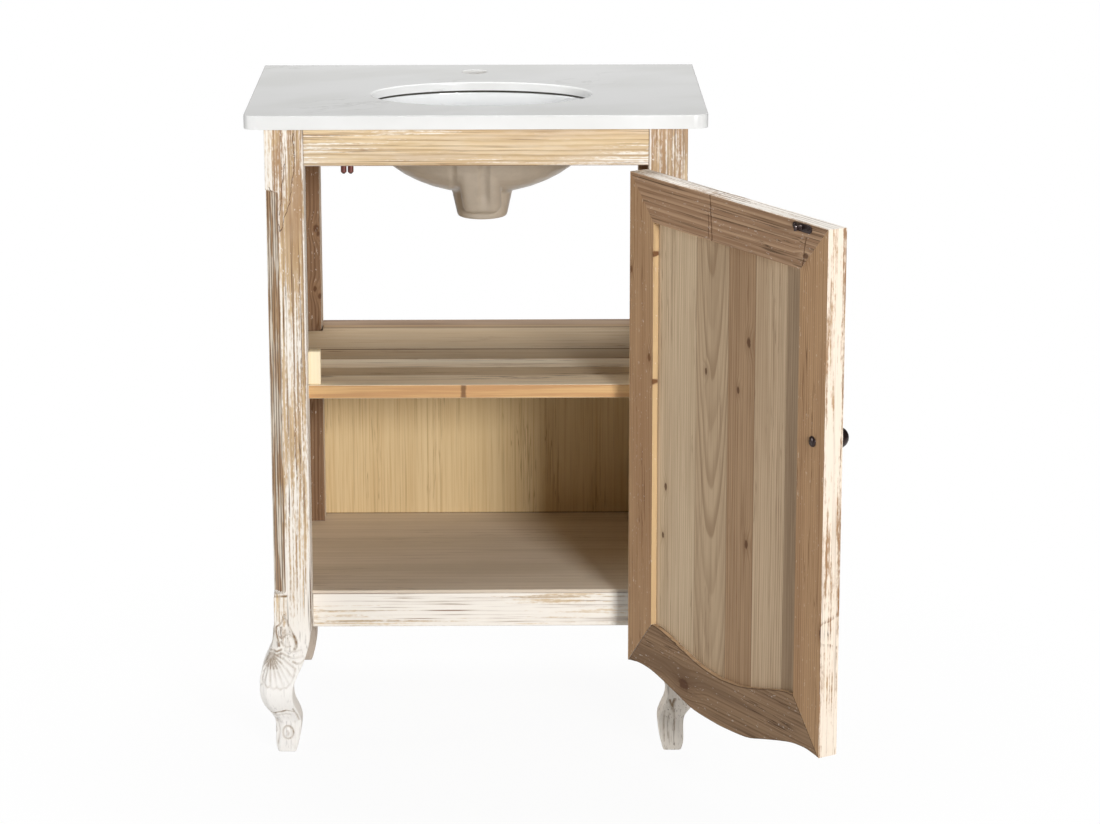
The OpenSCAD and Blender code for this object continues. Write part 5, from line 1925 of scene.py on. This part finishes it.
@dataclass
class Door:
    """The framed door: four mitred pieces round five boards."""

    arris: float = 1.0 * MM
    board_arris: float = 0.5 * MM
    hinge_side: float = 0.471
    board_face: float = -8 * MM

    def across(self, from_hinge: float) -> float:
        """Turns a distance from the hinge side into a place on the closed door."""
        return self.hinge_side - from_hinge

    def woods(self) -> dict[str, Wood]:
        """Lists the wood of the door's stiles and rails.

        Returns:
            The woods by node.
        """
        stile = dict(grain=Grain.UPRIGHT, late=paint(134, 98, 68), stain=paint(166, 130, 96), slope=0.004,
                     lime=0.66, bare=turned_with_door(BACK), setting=Setting.DOOR, flecks=0.3, cracks=1.0,
                     reveal_colour=paint(208, 178, 134), worn_arris=0.75, lines=0.35)
        rail = {**stile, "grain": Grain.LEFT_TO_RIGHT}
        return {
            "door_hinge_stile": Wood(
                "hinge_stile_pine", early=paint(184, 150, 114), pith=(self.across(-0.4), 0.0),
                reveal=turned_with_door(LEFT), knots=(
                    Knot(0.561, self.across(0.0483), 4 * MM), Knot(0.670, self.across(0.004), 3 * MM),
                    Knot(0.699, self.across(0.057), 2.6 * MM), Knot(0.530, self.across(0.057), 2.6 * MM)),
                knot_colour=paint(112, 74, 44), seed=21.0, **stile),
            "door_free_stile": Wood(
                "free_stile_pine", early=paint(186, 150, 112), pith=(self.across(0.1), 0.05),
                reveal=turned_with_door(RIGHT), knots=(
                    Knot(0.758, self.across(0.398), 4 * MM), Knot(0.295, self.across(0.444), 4 * MM)),
                lime_colour=paint(240, 226, 209), seed=22.0, **stile),
            "door_top_rail": Wood(
                "door_top_rail_pine", **{
                    **rail, "early": paint(153, 120, 92), "late": paint(196, 164, 132),
                    "stain": paint(128, 98, 72), "crack_colour": paint(64, 46, 32), "lines": 0.75},
                pith=(1.3, 0.02), ring=8 * MM, contrast=0.85, reveal=DOWN, seed=23.0,
                knots=(Knot(self.across(0.398), 0.758, 4 * MM),),
                splits=(Split((self.across(0.188), 0.798), (self.across(0.194), 0.740), 1.8 * MM),
                        Split((self.across(0.185), 0.772), (self.across(0.186), 0.744), 1.3 * MM),
                        Split((self.across(0.398), 0.780), (self.across(0.392), 0.744), 1.8 * MM))),
            "door_bottom_rail": Wood(
                "door_bottom_rail_pine", **{
                    **rail, "stain": paint(122, 97, 74), "reveal_colour": paint(190, 160, 126),
                    "late": paint(112, 84, 60), "lines": 0.6, "crack_colour": paint(78, 56, 40)},
                early=paint(152, 124, 96), pith=(-0.06, 0.05), ring=5 * MM, reveal=UP,
                knots=(Knot(self.across(0.1388), 0.141, 8 * MM),), seed=24.0),
        }

    def board_woods(self) -> dict[str, Wood]:
        """Lists the wood of the five boards, from the hinge side.

        Returns:
            The woods by node.
        """
        tones = ((paint(210, 188, 158), paint(170, 146, 116)), (paint(192, 168, 138), paint(146, 120, 92)),
                 (paint(176, 146, 114), paint(134, 104, 76)), (paint(202, 178, 148), paint(160, 132, 102)),
                 (paint(176, 152, 124), paint(136, 110, 84)))
        piths = ((0.6, 0.0), (0.185, -0.079), (-0.3, 0.05), (0.9, 0.02), (-0.3, 0.0))
        face = self.board_face
        knots = ((Knot(0.3934, self.across(0.078), 3.5 * MM, face),
                  Knot(0.3256, self.across(0.0726), 3 * MM, face)),
                 (Knot(0.5672, self.across(0.171), 3 * MM, face),),
                 (Knot(0.6243, self.across(0.2665), 4.5 * MM, face),
                  Knot(0.5582, self.across(0.2444), 3 * MM, face),
                  Knot(0.3631, self.across(0.267), 4 * MM, face)), (), ())
        woods = {}
        for number, ((early, late), (pith, depth), marks) in enumerate(zip(tones, piths, knots), start=1):
            stain = tuple((a + b) / 2 for a, b in zip(early, late))
            woods[f"door_board_{number}"] = Wood(
                f"door_board_{number}_pine", Grain.UPRIGHT, early, late, stain, ring=5 * MM,
                pith=(self.across(pith), depth), slope=0.07 if number == 2 else 0.012, contrast=0.7,
                fibre=0.6, lime=0.6, bare=turned_with_door(BACK), worn_arris=0.5, lines=0.35, knots=marks,
                seed=30.0 + 3.7 * number, setting=Setting.DOOR)
        return woods

    def make(self, groups: WoodGroups) -> None:
        """Builds the door.

        Args:
            groups: The effects that the woods share.
        """
        for node, wood in self.woods().items():
            eased_piece(node, wood.build(groups), self.arris)
        for node, wood in self.board_woods().items():
            eased_piece(node, wood.build(groups), self.board_arris)


@dataclass
class Fittings:
    """Hinges, catch, strike, knob, clips, screws and the sealant bead."""

    dark: Plain = Plain("dark_metal_paint", paint(52, 38, 36), 0.32, metallic=0.6, coat=0.3)
    roller: Plain = Plain("roller_bronze", paint(122, 72, 66), 0.3, metallic=0.5, coat=0.4)
    steel: Plain = Plain("bright_steel", paint(190, 187, 180), 0.35, metallic=1.0)
    bead: Plain = Plain("sealant_bead", paint(70, 69, 66), 0.6)
    arris: float = 0.25 * MM
    in_sight: tuple[str, ...] = (
        "knob", "knob_screw", "strike_plate", "catch_roller_left", "catch_roller_right")

    def make(self) -> None:
        """Dresses the fittings; the ones that show are eased."""
        finishes = {"dark_metal": self.dark.build(), "roller_metal": self.roller.build(),
                    "bright_steel": self.steel.build(), "sealant": self.bead.build()}
        for node, slot in SLOT_OF.items():
            if slot not in finishes:
                continue
            if node in self.in_sight:
                eased_piece(node, finishes[slot], self.arris)
                continue
            for material_slot in frame["nodes"][node].material_slots:
                material_slot.material = finishes[slot]
            LOG.info("%s keeps its solid", node)


def main() -> None:
    """Builds the washstand's pieces and the studio, and reports each piece."""
    logging.basicConfig(level=logging.INFO, format="%(message)s")
    groups = WoodGroups()
    MarbleTop().make()
    Basin().make()
    Legs().make(groups)
    Carcase().make(groups)
    Door().make(groups)
    Fittings().make()
    Studio().make()


if __name__ == "__main__":
    main()
